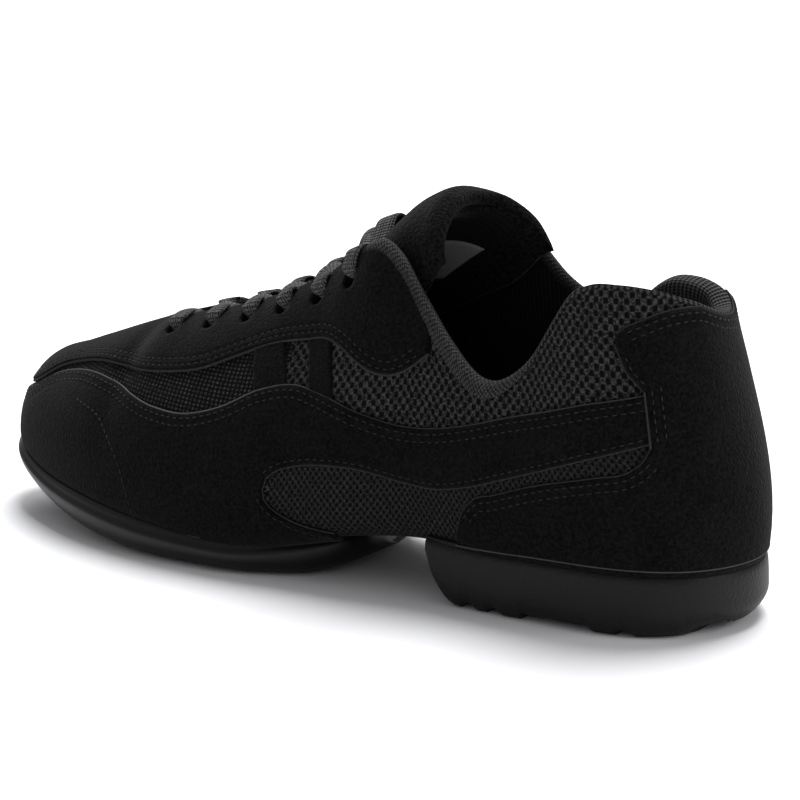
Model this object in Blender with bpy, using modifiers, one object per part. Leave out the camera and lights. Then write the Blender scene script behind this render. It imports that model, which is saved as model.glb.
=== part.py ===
"""Left dance sneaker with a split sole: a hollow laced upper on a forefoot sole and a heel block.

Metres, +Z up, toe toward +X, lateral side toward +Y, standing on Z = 0.
The upper is a loop of ribs. Rib 0 is at the toe tip, rib 11 at the heel, and the ribs between are
on the lateral side. The medial side uses the same numbers with a minus sign. Along a rib, height q
runs from -1 (inner end of the rounded bottom corner) over 0 (its top) to 1 (top line or ridge).
Every overlay, the tongue, the tape and the laces take their places from these ribs.
"""
import bpy
import bmesh
import numpy as np
from math import cos, pi, sin
from mathutils import Matrix, Vector

# Driving sizes of the last and the upper
LENGTH = 0.268
BALL_WIDTH = 0.084
HEEL_LIFT = 0.017
COLLAR_HEIGHT = 0.095
WALL = 0.0025
ARCH_RADIUS = 0.012
LASTING = 0.011
# Overlays, tape and straps
GAP = 0.0003
OVERLAY_GAP = 0.0004
OVERLAY = 0.0012
TAPE = 0.0010
TAPE_DEPTH = 0.0062
TAPE_DEPTH_REAR = 0.0022
TAPE_DEPTH_INSIDE = 0.0035
# Eyelets and lace
EYELETS = 6
EYELET_RADIUS = 0.0023
EYELET_INSET = 0.0068
EYELET_FIRST = 3.68
EYELET_LAST = 5.87
LACE_WIDTH = 0.0068
LACE = 0.0013
LACE_STEPS = 7
# Forefoot sole and heel block
SOLE_LIP = 0.0026
TOE_SPRING = 0.0170
SOLE_REAR_RISE = 0.0105
HEEL_LIP = 0.0020
HEEL_FRONT_RADIUS = 0.012
HEEL_NOTCH = 0.0012
HEEL_NOTCH_WIDTH = 0.0040
# Inside
INSOLE = 0.0040
TONGUE = 0.0040
TONGUE_ROLL = 0.0085

RIBS = 11
TURN = 2 * RIBS
TINY = 1e-5

# Edge of the footprint: rib, x of LENGTH, lateral y and medial y of BALL_WIDTH, z of HEEL_LIFT
FOOT = (
    (0, 0.994, -0.105, -0.105, 1.20),
    (1, 0.965, 0.075, -0.300, 1.08),
    (2, 0.893, 0.236, -0.450, 0.90),
    (3, 0.791, 0.381, -0.524, 0.77),
    (4, 0.679, 0.458, -0.548, 0.62),
    (5, 0.560, 0.464, -0.470, 0.55),
    (6, 0.448, 0.417, -0.345, 0.80),
    (7, 0.343, 0.363, -0.305, 0.98),
    (8, 0.224, 0.369, -0.351, 1.00),
    (9, 0.104, 0.345, -0.345, 1.00),
    (10, 0.037, 0.226, -0.232, 1.00),
    (11, 0.011, 0.0, 0.0, 1.00),
)
# Ridge, throat and top line: rib, x of LENGTH, lateral y of BALL_WIDTH and z of COLLAR_HEIGHT,
# medial y and z
TOP = (
    (0.0, 0.890, -0.095, 0.530, -0.095, 0.530),
    (1.0, 0.876, -0.095, 0.545, -0.095, 0.545),
    (2.0, 0.840, -0.083, 0.590, -0.083, 0.590),
    (3.0, 0.778, -0.060, 0.655, -0.060, 0.655),
    (3.3, 0.757, -0.060, 0.675, -0.060, 0.675),
    (3.5, 0.735, 0.024, 0.690, -0.143, 0.690),
    (4.0, 0.672, 0.071, 0.732, -0.167, 0.737),
    (5.0, 0.560, 0.119, 0.832, -0.179, 0.842),
    (5.6, 0.489, 0.155, 0.926, -0.190, 0.937),
    (6.0, 0.444, 0.196, 1.016, -0.214, 1.030),
    (6.3, 0.416, 0.226, 1.050, -0.231, 1.072),
    (6.6, 0.388, 0.250, 1.010, -0.250, 1.100),
    (7.0, 0.352, 0.274, 0.885, -0.262, 1.090),
    (7.3, 0.318, 0.298, 0.775, -0.275, 1.020),
    (7.6, 0.280, 0.321, 0.690, -0.290, 0.910),
    (7.9, 0.245, 0.333, 0.697, -0.305, 0.855),
    (8.15, 0.213, 0.333, 0.775, -0.320, 0.850),
    (8.35, 0.190, 0.330, 0.885, -0.318, 0.875),
    (8.55, 0.172, 0.324, 0.965, -0.310, 0.940),
    (8.8, 0.153, 0.312, 0.997, -0.300, 0.980),
    (9.2, 0.122, 0.290, 1.000, -0.280, 0.990),
    (9.7, 0.083, 0.240, 0.980, -0.240, 0.975),
    (10.3, 0.052, 0.140, 0.940, -0.140, 0.930),
    (11.0, 0.041, 0.0, 0.905, 0.0, 0.905),
)
# Bulge of a rib: rib, out of BALL_WIDTH and up of the rib's height at the side, out and drop under the top
SIDE = (
    (0, 0.030, 0.58, 0.200, 0.00),
    (1, 0.030, 0.57, 0.215, 0.00),
    (2, 0.035, 0.53, 0.240, 0.00),
    (3, 0.040, 0.48, 0.280, 0.00),
    (4, 0.040, 0.45, 0.250, 0.08),
    (5, 0.035, 0.40, 0.200, 0.15),
    (6, 0.040, 0.35, 0.120, 0.25),
    (7, 0.045, 0.35, 0.050, 0.30),
    (8, 0.050, 0.35, 0.045, 0.35),
    (9, 0.050, 0.35, 0.050, 0.35),
    (10, 0.045, 0.35, 0.050, 0.33),
    (11, 0.045, 0.35, 0.050, 0.33),
)
# Radius of the bottom corner: rib, radius of ARCH_RADIUS
CORNER = (
    (0, 0.36), (2, 0.36), (4, 0.38), (4.8, 0.42), (5.3, 0.60), (5.8, 0.92), (6.2, 1.0), (6.8, 1.0),
    (7.2, 0.80), (7.6, 0.50), (8, 0.36), (9, 0.34), (11, 0.34),
)
# Ribs where the upper's facets meet: the throat opens at 3.3, the bottom is closed from 5.3 to 7.6
STATIONS = (
    0, 0.35, 0.7, 1, 1.33, 1.67, 2, 2.33, 2.67, 3, 3.3, 3.5, 3.75, 4, 4.33, 4.67, 5, 5.3, 5.55, 5.8,
    6.05, 6.3, 6.6, 6.8, 7, 7.2, 7.4, 7.6, 7.75, 7.9, 8.05, 8.2, 8.35, 8.55, 8.8, 9.2, 9.47, 9.7, 10,
    10.3, 10.65, 11,
)
THROAT_FRONT = 3.3
ARCH_FRONT = 5.3
ARCH_REAR = 7.6
TAPE_START = 6.05

# Borders of the overlays: rib, z of COLLAR_HEIGHT, the same on both sides of the shoe
GUARD_TOP = (
    (0, 0.375), (0.8, 0.385), (1.3, 0.415), (1.7, 0.462), (2.2, 0.498), (2.8, 0.516), (3.3, 0.502),
    (3.9, 0.470), (4.3, 0.470), (4.7, 0.508), (5.1, 0.572), (5.5, 0.602), (5.8, 0.590), (6.3, 0.552),
    (6.8, 0.528), (7.2, 0.532), (7.6, 0.560), (8.1, 0.612), (8.6, 0.658), (9.47, 0.708),
)
STRIPE_LOW = (
    (5.3, 0.285), (5.42, 0.345), (5.6, 0.366), (6, 0.384), (6.3, 0.384), (6.9, 0.360), (7.2, 0.355),
    (7.6, 0.382), (8.1, 0.440), (8.6, 0.500), (9.0, 0.538), (9.47, 0.574),
)
MEDALLION_LOW = ((5.3, 0.285), (5.4, 0.236), (5.55, 0.208), (5.8, 0.185), (6.05, 0.174))
VAMP_LOW = (
    (0, 0.395), (0.8, 0.405), (1.3, 0.440), (1.7, 0.488), (2.2, 0.524), (2.8, 0.552), (3.3, 0.555),
    (3.9, 0.574), (4.3, 0.600), (4.7, 0.652), (5.1, 0.704), (5.5, 0.734), (5.8, 0.748), (6.0, 0.730),
    (6.2, 0.700), (6.45, 0.674), (6.65, 0.676), (6.85, 0.704), (7.0, 0.745),
)
COUNTER_WING = (
    (7.43, 0.222), (7.5, 0.290), (7.62, 0.340), (7.85, 0.370), (8.3, 0.424), (8.8, 0.464), (9.2, 0.494),
    (9.38, 0.530), (9.47, 0.566),
)
COUNTER_LOBE_LOW = ((9.16, 0.840), (9.25, 0.778), (9.38, 0.736), (9.47, 0.712))
COUNTER_TOP = ((9.16, 0.872), (9.28, 0.893), (9.47, 0.908), (9.7, 0.917), (10.1, 0.905), (11, 0.862))
# Lower edge of the overlays on the rounded corner: rib, height q
OVERLAY_EDGE = (
    (0, -0.42), (4.8, -0.42), (5.4, -0.66), (6.05, -0.86), (6.5, -0.86), (7.4, -0.50), (8, -0.42),
    (11, -0.42),
)
# Instep straps: rib at the foot and at the head of the front edge, and width in ribs
STRAPS = ((5.05, 4.87, 0.36), (5.67, 5.51, 0.31))

# Side of the heel block from top to bottom: out of HEEL_LIP, height of the block's own height
HEEL_SIDE = ((-0.5, 1.0), (0.5, 0.985), (1.0, 0.90), (1.1, 0.55), (1.0, 0.30), (0.55, 0.10), (-0.5, 0.0))
# The same at the back, where the lower edge is rounder
HEEL_BACK = ((-0.5, 1.0), (0.5, 0.985), (1.0, 0.90), (1.15, 0.60), (1.0, 0.38), (-0.6, 0.13), (-3.2, 0.0))
HEEL_LENGTH = 0.338
# Notches across the heel block, and two low flats: front and rear end, all of LENGTH from the heel back
HEEL_NOTCHES = (0.281, 0.249, 0.100)
HEEL_FLATS = ((0.217, 0.135), (0.045, 0.018))
# Side of the forefoot sole: out of SOLE_LIP, height of the sole's own thickness
SOLE_SIDE = ((-0.6, 1.0), (0.45, 0.96), (1.0, 0.74), (0.95, 0.48), (0.35, 0.22), (-1.0, 0.04), (-2.4, 0.0))
SOLE_FLAT = (0.515, 0.675)
SOLE_REAR = 0.420
# Where the sole's edge leaves the footprint under the arch: rib, out of SOLE_LIP
SOLE_EDGE = (
    (0, 1.0), (4.4, 1.0), (5.0, 0.5), (5.4, -0.8), (5.73, -2.2), (5.97, -4.3), (6.1, -6.4),
    (6.19, -8.6), (6.24, -11.2),
)
SOLE_STATIONS = (
    0, 0.3, 0.6, 0.9, 1.2, 1.6, 2, 2.4, 2.8, 3.2, 3.6, 3.9, 4.2, 4.6, 5, 5.25, 5.5, 5.73, 5.88, 6.0,
    6.1, 6.19, 6.24,
)

# Tongue under the throat: rib, rise of its crown over the throat's edges of TONGUE, thickness of TONGUE
TONGUE_TUCKED = (
    (3.0, -1.25, 0.75), (3.3, -1.15, 1.0), (3.75, -0.75, 1.0), (4.3, -0.40, 1.0), (4.9, -0.15, 1.0),
    (5.4, 0.20, 1.0), (5.85, 0.85, 1.1),
)
# Tongue above the throat: crown x of LENGTH and z of COLLAR_HEIGHT, wing x, y of BALL_WIDTH and z, roll
TONGUE_FREE = (
    (0.442, 1.068, 0.398, 0.222, 0.800, 0.60),
    (0.412, 1.145, 0.372, 0.222, 0.850, 0.80),
    (0.388, 1.186, 0.352, 0.222, 0.915, 1.00),
    (0.369, 1.205, 0.338, 0.225, 0.975, 0.95),
    (0.356, 1.196, 0.328, 0.215, 1.005, 0.55),
)
TONGUE_ROWS = (0.62, 0.75, 0.88)
TONGUE_CLOSED = 0.95


def hermite(start, end, start_slope, end_slope, u):
    """Cubic curve between two values, with its slopes at both ends."""
    return ((2 * u**3 - 3 * u**2 + 1) * start + (u**3 - 2 * u**2 + u) * start_slope
            + (3 * u**2 - 2 * u**3) * end + (u**3 - u**2) * end_slope)


class Loop:
    """Smooth closed curve through a table's rows: lateral toe to heel, then medial heel to toe."""

    def __init__(self, rows, lateral, medial):
        knots = np.array([r[0] for r in rows] + [TURN - r[0] for r in reversed(rows[1:-1])], float)
        values = np.array([lateral(r) for r in rows] + [medial(r) for r in reversed(rows[1:-1])], float)
        self.knots = np.concatenate([knots - TURN, knots, knots + TURN])
        self.values = np.concatenate([values, values, values])
        self.slopes = np.gradient(self.values, self.knots, axis=0)

    def __call__(self, s):
        s = np.mod(np.asarray(s, float), TURN)
        i = np.searchsorted(self.knots, s, side="right") - 1
        step = (self.knots[i + 1] - self.knots[i])[..., None]
        u = (s - self.knots[i])[..., None] / step
        slopes = self.slopes[i] * step, self.slopes[i + 1] * step
        return hermite(self.values[i], self.values[i + 1], *slopes, u)


foot = Loop(FOOT, lambda r: (r[1] * LENGTH, r[2] * BALL_WIDTH, r[4] * HEEL_LIFT),
            lambda r: (r[1] * LENGTH, r[3] * BALL_WIDTH, r[4] * HEEL_LIFT))
top = Loop(TOP, lambda r: (r[1] * LENGTH, r[2] * BALL_WIDTH, r[3] * COLLAR_HEIGHT),
           lambda r: (r[1] * LENGTH, r[4] * BALL_WIDTH, r[5] * COLLAR_HEIGHT))
side = Loop(SIDE, lambda r: r[1:], lambda r: r[1:])
corner_loop = Loop(CORNER, lambda r: (r[1] * ARCH_RADIUS,), lambda r: (r[1] * ARCH_RADIUS,))


def corner(s):
    return corner_loop(s)[..., 0]


def along(rows, s):
    """A table's second column at rib s, the same on both sides, with smooth slopes."""
    s = min(s % TURN, -s % TURN)
    knots = [r[0] for r in rows]
    values = [r[1] for r in rows]
    slopes = np.gradient(values, knots)
    s = min(max(s, knots[0]), knots[-1])
    i = min(int(np.searchsorted(knots, s, side="right")) - 1, len(knots) - 2)
    step = knots[i + 1] - knots[i]
    u = (s - knots[i]) / step
    return hermite(values[i], values[i + 1], slopes[i] * step, slopes[i + 1] * step, u)


BED_S = np.linspace(0, RIBS, 441)
BED = foot(BED_S)


def bed(x):
    """Height of the upper's flat bottom at x."""
    return np.interp(x, BED[::-1, 0], BED[::-1, 2])


def rib_at(x):
    """Lateral rib whose edge lies at x."""
    return np.interp(x, BED[::-1, 0], BED_S[::-1])


def outward(s):
    """Horizontal unit normal of the footprint."""
    step = 0.01
    d = foot(np.asarray(s, float) + step) - foot(np.asarray(s, float) - step)
    n = np.stack([-d[..., 1], d[..., 0]], -1)
    return -n / np.linalg.norm(n, axis=-1, keepdims=True)


def rib(s, t):
    """Outer surface at rib s from the footprint's edge (t = 0) to the top line (t = 1)."""
    f, p, bulge = foot(s), top(s), side(s)
    n = outward(s)
    up = p[..., 2] - f[..., 2]
    toward = (f - p)[..., :2]
    width = np.linalg.norm(toward, axis=-1, keepdims=True)
    wide = np.clip((width - 0.1 * BALL_WIDTH) / (0.15 * BALL_WIDTH), 0, 1)
    crown = toward / np.maximum(width, TINY) * wide + n * (1 - wide)
    crown = crown / np.linalg.norm(crown, axis=-1, keepdims=True)
    low, high = f.copy(), p.copy()
    low[..., :2] += n * bulge[..., 0:1] * BALL_WIDTH
    low[..., 2] += bulge[..., 1] * up
    high[..., :2] += crown * bulge[..., 2:3] * BALL_WIDTH
    high[..., 2] -= bulge[..., 3] * up
    t = t[..., None]
    return (1 - t)**3 * f + 3 * (1 - t)**2 * t * low + 3 * (1 - t) * t**2 * high + t**3 * p


def corner_end(s):
    """Height t on the rib where the rounded bottom corner ends."""
    up = top(s)[..., 2] - foot(s)[..., 2]
    return corner(s) / (3 * side(s)[..., 1] * up)


def skin(s, q):
    """Outer surface of the upper at rib s, q from -1 through the corner to 0 and on to 1."""
    s, q = np.broadcast_arrays(np.asarray(s, float), np.asarray(q, float))
    end = corner_end(s)
    wall = rib(s, end + (1 - end) * np.clip(q, 0, 1))
    f = foot(s)
    inner = f.copy()
    inner[..., :2] -= outward(s) * corner(s)[..., None]
    inner[..., 2] = bed(inner[..., 0])
    c = np.clip(q + 1, 0, 1)[..., None]
    bend = (1 - c)**2 * inner + 2 * c * (1 - c) * f + c**2 * rib(s, end)
    return np.where((q < 0)[..., None], bend, wall)


def skin_normal(s, q):
    s, q = np.broadcast_arrays(np.asarray(s, float), np.asarray(q, float))
    step = 0.02
    beside = np.minimum(q, 1 - 2 * step)
    along_s = skin(s + step, beside) - skin(s - step, beside)
    q_high, q_low = np.minimum(q + step, 1), np.maximum(q - step, -1)
    along_q = skin(s, q_high) - skin(s, q_low)
    n = np.cross(along_s, along_q)
    return n / np.maximum(np.linalg.norm(n, axis=-1, keepdims=True), 1e-12)


def over(s, q, height):
    """Points of one rib at a height over the skin. On the closed ridge both sides share one direction."""
    q = np.asarray(q, float)
    n = skin_normal(s, q)
    if min(s % TURN, -s % TURN) <= THROAT_FRONT + TINY and q.max() > 1 - TINY:
        both = n + skin_normal(-s, q)
        both = both / np.linalg.norm(both, axis=-1, keepdims=True)
        n = np.where((q > 1 - TINY)[..., None], both, n)
    return skin(s, q) + n * height


def q_at(s, z):
    """Height q on rib s at world height z."""
    grid = np.linspace(-1, 1, 161)
    return float(np.interp(z, skin(s, grid)[:, 2], grid))


def q_below_top(s, depth):
    """Height q on rib s at a distance along the surface below the top line."""
    grid = np.linspace(0, 1, 161)
    points = skin(s, grid)
    runs = np.concatenate([[0], np.cumsum(np.linalg.norm(np.diff(points, axis=0), axis=1))])
    return float(np.interp(runs[-1] - depth, runs, grid))


def border(rows, s):
    return q_at(s, along(rows, s) * COLLAR_HEIGHT)


def spread(start, end, count):
    return [start + (end - start) * i / (count - 1) for i in range(count)]


def collection(name):
    made = bpy.data.collections.new(name)
    bpy.context.scene.collection.children.link(made)
    return made


def material(name, colour, roughness, coat=0.0):
    made = bpy.data.materials.new(name)
    made.use_nodes = True
    shader = made.node_tree.nodes["Principled BSDF"]
    shader.inputs["Base Color"].default_value = (*colour, 1)
    shader.inputs["Roughness"].default_value = roughness
    shader.inputs["Coat Weight"].default_value = coat
    return made


def add(name, mesh, look, home):
    made = bpy.data.objects.new(name, mesh)
    home.objects.link(made)
    mesh.materials.append(look)
    mesh.shade_smooth()
    mesh.set_sharp_from_angle(angle=pi / 5)
    return made


def weld(bm):
    bmesh.ops.remove_doubles(bm, verts=bm.verts, dist=TINY)
    bmesh.ops.dissolve_degenerate(bm, edges=bm.edges, dist=TINY)
    bmesh.ops.recalc_face_normals(bm, faces=bm.faces)


def sheet(name, grids, wall, outer, look, home):
    """Shell of a wall's thickness inside one or more grids of points. outer is a point outside."""
    bm = bmesh.new()
    for grid in grids:
        rows = [[bm.verts.new(p) for p in row] for row in grid]
        for a, b in zip(rows, rows[1:]):
            for i in range(len(a) - 1):
                bm.faces.new((a[i], b[i], b[i + 1], a[i + 1]))
    weld(bm)
    nearest = min(bm.faces, key=lambda f: (f.calc_center_median() - Vector(outer)).length)
    if nearest.normal.dot(Vector(outer) - nearest.calc_center_median()) < 0:
        bmesh.ops.reverse_faces(bm, faces=bm.faces)
    mesh = bpy.data.meshes.new(name)
    bm.to_mesh(mesh)
    bm.free()
    made = add(name, mesh, look, home)
    solid = made.modifiers.new("wall", "SOLIDIFY")
    solid.thickness = wall
    solid.offset = -1
    solid.use_even_offset = True
    return made


def ring_loft(name, rings, look, home):
    """Closed solid through rings of equal length. A ring whose points coincide needs no cap."""
    bm = bmesh.new()
    rows = [[bm.verts.new(p) for p in ring] for ring in rings]
    count = len(rings[0])
    for a, b in zip(rows, rows[1:]):
        for i in range(count):
            j = (i + 1) % count
            bm.faces.new((a[i], b[i], b[j], a[j]))
    for row, ring in ((rows[0], rings[0]), (rows[-1], rings[-1])):
        if folded(ring):
            continue
        bm.faces.new(row)
    weld(bm)
    bmesh.ops.triangulate(bm, faces=[f for f in bm.faces if len(f.verts) > 4])
    bmesh.ops.recalc_face_normals(bm, faces=bm.faces)
    mesh = bpy.data.meshes.new(name)
    bm.to_mesh(mesh)
    bm.free()
    return add(name, mesh, look, home)


def folded(ring):
    """Whether the second half of a ring lies on its first half."""
    return all((Vector(a) - Vector(b)).length < TINY for a, b in zip(ring, reversed(ring)))


def cut(made, cutter):
    cutter.hide_render = True
    cutter.display_type = "WIRE"
    boolean = made.modifiers.new(cutter.name, "BOOLEAN")
    boolean.operation = "DIFFERENCE"
    boolean.object = cutter


def loop_stations():
    return list(STATIONS) + [TURN - s for s in reversed(STATIONS[:-1])]


def upper(look, home):
    """Ribs all round from the lasting margin to the top line, and the plate that closes the arch."""
    heights = [-1, -0.5, 0, 0.14, 0.28, 0.42, 0.56, 0.70, 0.85, 1]

    def margin(s):
        point = foot(s).copy()
        point[:2] -= outward(s) * (max(LASTING, corner(s) + WALL))
        point[2] = bed(point[0])
        return point

    columns = [[margin(s)] + list(skin(s, heights)) for s in loop_stations()]
    plate = []
    for s in STATIONS:
        if ARCH_FRONT <= s <= ARCH_REAR:
            a, b = margin(s), margin(-s)
            row = [a + (b - a) * i / 4 for i in range(5)]
            for point in row:
                point[2] = bed(point[0])
            plate.append(row)
    outer = (0.4 * LENGTH, BALL_WIDTH, 0.4 * COLLAR_HEIGHT)
    return sheet("upper", (columns, plate), WALL, outer, look, home)


def edge_q(s):
    """Lower end of an overlay: on the corner, and under the arch further down it."""
    return along(OVERLAY_EDGE, s)


def band(stations, low, high, rows, height):
    """Grid of points over the skin between two borders given as functions of the rib."""
    return [over(s, spread(low(s), high(s), rows), height) for s in stations]


def between(first, last, side_sign):
    """The stations from first to last, with both ends, on one side."""
    inner = [s for s in STATIONS if first + 0.06 < s < last - 0.06]
    return [side_sign * s for s in [first] + inner + [last]]


def side_guard(look, home):
    """Mudguard round the toe, forked on both sides into a strip along the sole and a side stripe."""
    height = OVERLAY_GAP + OVERLAY

    def split(s):
        fork = ARCH_FRONT if s >= 0 else -ARCH_FRONT
        low = edge_q(fork)
        share = (border(STRIPE_LOW, fork) - low) / (border(GUARD_TOP, fork) - low)
        return edge_q(s) + share * (border(GUARD_TOP, s) - edge_q(s))

    def guard_top(s):
        return border(GUARD_TOP, s)

    front = [-s for s in reversed(between(0, ARCH_FRONT, 1)[1:])] + between(0, ARCH_FRONT, 1)
    grids = [band(front, edge_q, split, 4, height), band(front, split, guard_top, 4, height)]
    for sign in (1, -1):
        strip = [sign * s for s in (ARCH_FRONT, 5.42, 5.55, 5.8, MEDALLION_LOW[-1][0])]
        grids.append(band(strip, edge_q, lambda s: border(MEDALLION_LOW, s), 4, height))
        stripe = [sign * ARCH_FRONT, sign * 5.42] + between(5.55, STRIPE_LOW[-1][0] - 0.015, sign)
        grids.append(band(stripe, lambda s: border(STRIPE_LOW, s), guard_top, 4, height))
    outer = over(4.0, 0.2, 3 * height)
    return sheet("side_guard", grids, OVERLAY, outer, look, home)


def tape_depth(s):
    return along(((6.0, TAPE_DEPTH), (7.5, TAPE_DEPTH), (8.2, TAPE_DEPTH_REAR), (11, TAPE_DEPTH_REAR)), s)


def vamp_eyestay(look, home):
    """Toe and eyestay panel: closed over the ridge, open at the throat, up to the collar tape."""
    height = OVERLAY_GAP + OVERLAY

    def high(s):
        if abs(s) <= THROAT_FRONT:
            return 1.0
        if abs(s) < TAPE_START:
            return q_below_top(s, 2 * GAP)
        return q_below_top(s, tape_depth(s) + 2 * GAP)

    last = VAMP_LOW[-1][0]
    rear = between(THROAT_FRONT, last, 1)[1:]
    front = [s for s in STATIONS if s <= THROAT_FRONT]
    half = front + rear
    stations = [-s for s in reversed(half[1:])] + half
    grid = band(stations, lambda s: border(VAMP_LOW, s), high, 5, height)
    return sheet("vamp_eyestay", (grid,), OVERLAY, over(4.5, 0.8, 3 * height), look, home)


def heel_counter(look, home):
    """Cup round the heel with a low wing forward on each side and a lobe over the stripe's end."""
    height = OVERLAY_GAP + OVERLAY
    front = COUNTER_WING[-1][0]

    def high(s):
        return min(border(COUNTER_TOP, s), q_below_top(s, tape_depth(s) + 2 * GAP))

    def wing(s):
        return border(COUNTER_WING, s)

    def lobe(s):
        return border(COUNTER_LOBE_LOW, s)

    back = [s for s in STATIONS if s >= front - TINY]
    back = back + [TURN - s for s in reversed(back[:-1])]
    grids = [[over(s, back_rows(s, high), height) for s in back]]
    for sign in (1, -1):
        wings = [sign * s for s in (7.43, 7.5, 7.62, 7.9, 8.15, 8.35, 8.55, 8.8, 9.2, 9.38, front)]
        grids.append(band(wings, edge_q, wing, 5, height))
        lobes = [sign * s for s in (9.16, 9.25, 9.38, front)]
        grids.append(band(lobes, lobe, high, 3, height))
    return sheet("heel_counter", grids, OVERLAY, over(11, 0.5, 3 * height), look, home)


def back_rows(s, high):
    """Heights of the counter's body: as the wing, the edge that the stripe meets, and the lobe."""
    wing = q_at(s, COUNTER_WING[-1][1] * COLLAR_HEIGHT)
    lobe = q_at(s, COUNTER_LOBE_LOW[-1][1] * COLLAR_HEIGHT)
    return spread(edge_q(s), wing, 5) + spread(wing, lobe, 2)[1:] + spread(lobe, high(s), 3)[1:]


def instep_strap(name, sign, foot_rib, head_rib, width, look, home):
    """Short strap between the guard and the eyestay, under neither."""
    height = OVERLAY_GAP + OVERLAY
    seam = 3 * GAP / COLLAR_HEIGHT
    grid = []
    for i in range(3):
        column = []
        for j in range(4):
            s = foot_rib + (head_rib - foot_rib) * j / 3 + width * i / 2
            low = along(GUARD_TOP, s) + seam
            high = along(VAMP_LOW, s) - seam
            z = (low + (high - low) * j / 3) * COLLAR_HEIGHT
            column.append(over(sign * s, q_at(sign * s, z), height))
        grid.append(column)
    return sheet(name, (grid,), OVERLAY, over(sign * foot_rib, 0.6, 3 * height), look, home)


def collar_tape(look, home):
    """Knit tape folded over the top line, deep in front and narrow round the heel."""
    stations = [TAPE_START] + [s for s in STATIONS if s > TAPE_START + 0.1]
    stations = stations + [TURN - s for s in reversed(stations[:-1])]
    rings = []
    for s in stations:
        edge = skin(s, 1.0)
        out = skin_normal(s, 0.97)
        up = edge - skin(s, 0.93)
        up = up / np.linalg.norm(up)
        depth = tape_depth(s)
        low = skin(s, q_below_top(s, depth))
        inside = -WALL - GAP
        outer = GAP + TAPE
        ring = [
            low + out * GAP, edge + out * GAP + up * GAP, edge + out * inside + up * GAP,
            edge + out * inside - up * TAPE_DEPTH_INSIDE,
            edge + out * (inside - TAPE) - up * TAPE_DEPTH_INSIDE,
            edge + out * (inside - TAPE) + up * (GAP + 0.4 * TAPE),
            edge - out * WALL / 2 + up * (GAP + 1.2 * TAPE),
            edge + out * outer + up * (GAP + 0.4 * TAPE), low + out * outer,
        ]
        rings.append(ring)
    return ring_loft("collar_tape", rings, look, home)


def rise(x, start, end, height):
    """Arc that leaves the floor at start and reaches a height at end."""
    run = abs(end - start)
    radius = (run**2 + height**2) / (2 * height)
    d = np.clip((x - start) * np.sign(end - start), 0, run)
    return radius - np.sqrt(radius**2 - d**2)


def side_ring(s, profile, lip, ground):
    """Ring across a sole at rib s: the lateral side downward, then the medial side upward."""
    ring = []
    for sign, rows in ((1, profile), (-1, tuple(reversed(profile)))):
        for out, share in rows:
            point = foot(sign * s).copy()
            point[:2] += outward(sign * s) * lip(s, out)
            base, roof = ground(point[0]), bed(point[0]) - GAP
            point[2] = base + share * (roof - base)
            ring.append(point)
    return ring


def forefoot_sole(look, home):
    """Thin sole with toe spring, rounded under the arch where the sole is split."""
    toe = foot(0)[0]
    rear = SOLE_REAR * LENGTH

    def ground(x):
        return (rise(x, SOLE_FLAT[1] * LENGTH, toe, TOE_SPRING)
                + rise(x, SOLE_FLAT[0] * LENGTH, rear, SOLE_REAR_RISE))

    def lip(s, out):
        return (out - 1 + along(SOLE_EDGE, s)) * SOLE_LIP

    rings = [side_ring(s, SOLE_SIDE, lip, ground) for s in SOLE_STATIONS]
    return ring_loft("forefoot_sole", rings, look, home)


def heel_block(look, home, cutters):
    """Rubber block with a rounded front, notched and recessed across its tread."""
    front = HEEL_LENGTH * LENGTH
    arc = [front - HEEL_FRONT_RADIUS * (1 - cos(a)) for a in (0, pi / 8, pi / 4, 3 * pi / 8)]
    arc.append(front - HEEL_FRONT_RADIUS)
    xs = arc + [0.25 * LENGTH, 0.21 * LENGTH, 0.17 * LENGTH, 0.13 * LENGTH, 0.10 * LENGTH, 0.075 * LENGTH]
    stations = [float(rib_at(x)) for x in xs] + [9.6, 9.85, 10.1, 10.35, 10.65, 11]

    def ground(x):
        d = np.clip(x - (front - HEEL_FRONT_RADIUS), 0, HEEL_FRONT_RADIUS)
        return HEEL_FRONT_RADIUS - np.sqrt(HEEL_FRONT_RADIUS**2 - d**2)

    def lip(s, out):
        return out * HEEL_LIP

    rings = []
    for s in stations:
        back = min(max((s - 9.2) / 1.2, 0), 1)
        profile = tuple((a[0] + (b[0] - a[0]) * back, a[1] + (b[1] - a[1]) * back)
                        for a, b in zip(HEEL_SIDE, HEEL_BACK))
        rings.append(side_ring(s, profile, lip, ground))
    made = ring_loft("heel_block", rings, look, home)
    bm = bmesh.new()
    wide = 2 * BALL_WIDTH
    for share in HEEL_NOTCHES:
        where = Matrix.Translation((share * LENGTH, 0, 0)) @ Matrix.Rotation(pi / 2, 4, "X")
        radius = (HEEL_NOTCH_WIDTH**2 / 4 + HEEL_NOTCH**2) / (2 * HEEL_NOTCH)
        where = Matrix.Translation((0, 0, HEEL_NOTCH - radius)) @ where
        bmesh.ops.create_cone(bm, cap_ends=True, segments=16, radius1=radius, radius2=radius, depth=wide,
                              matrix=where)
    for ahead, behind in HEEL_FLATS:
        size = ((ahead - behind) * LENGTH, wide, 2 * HEEL_NOTCH)
        where = Matrix.Translation(((ahead + behind) / 2 * LENGTH, 0, 0)) @ Matrix.Diagonal((*size, 1))
        bmesh.ops.create_cube(bm, size=1, matrix=where)
    mesh = bpy.data.meshes.new("heel_cutter")
    bm.to_mesh(mesh)
    bm.free()
    cutter = add("heel_cutter", mesh, look, cutters)
    cut(made, cutter)
    return made


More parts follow.
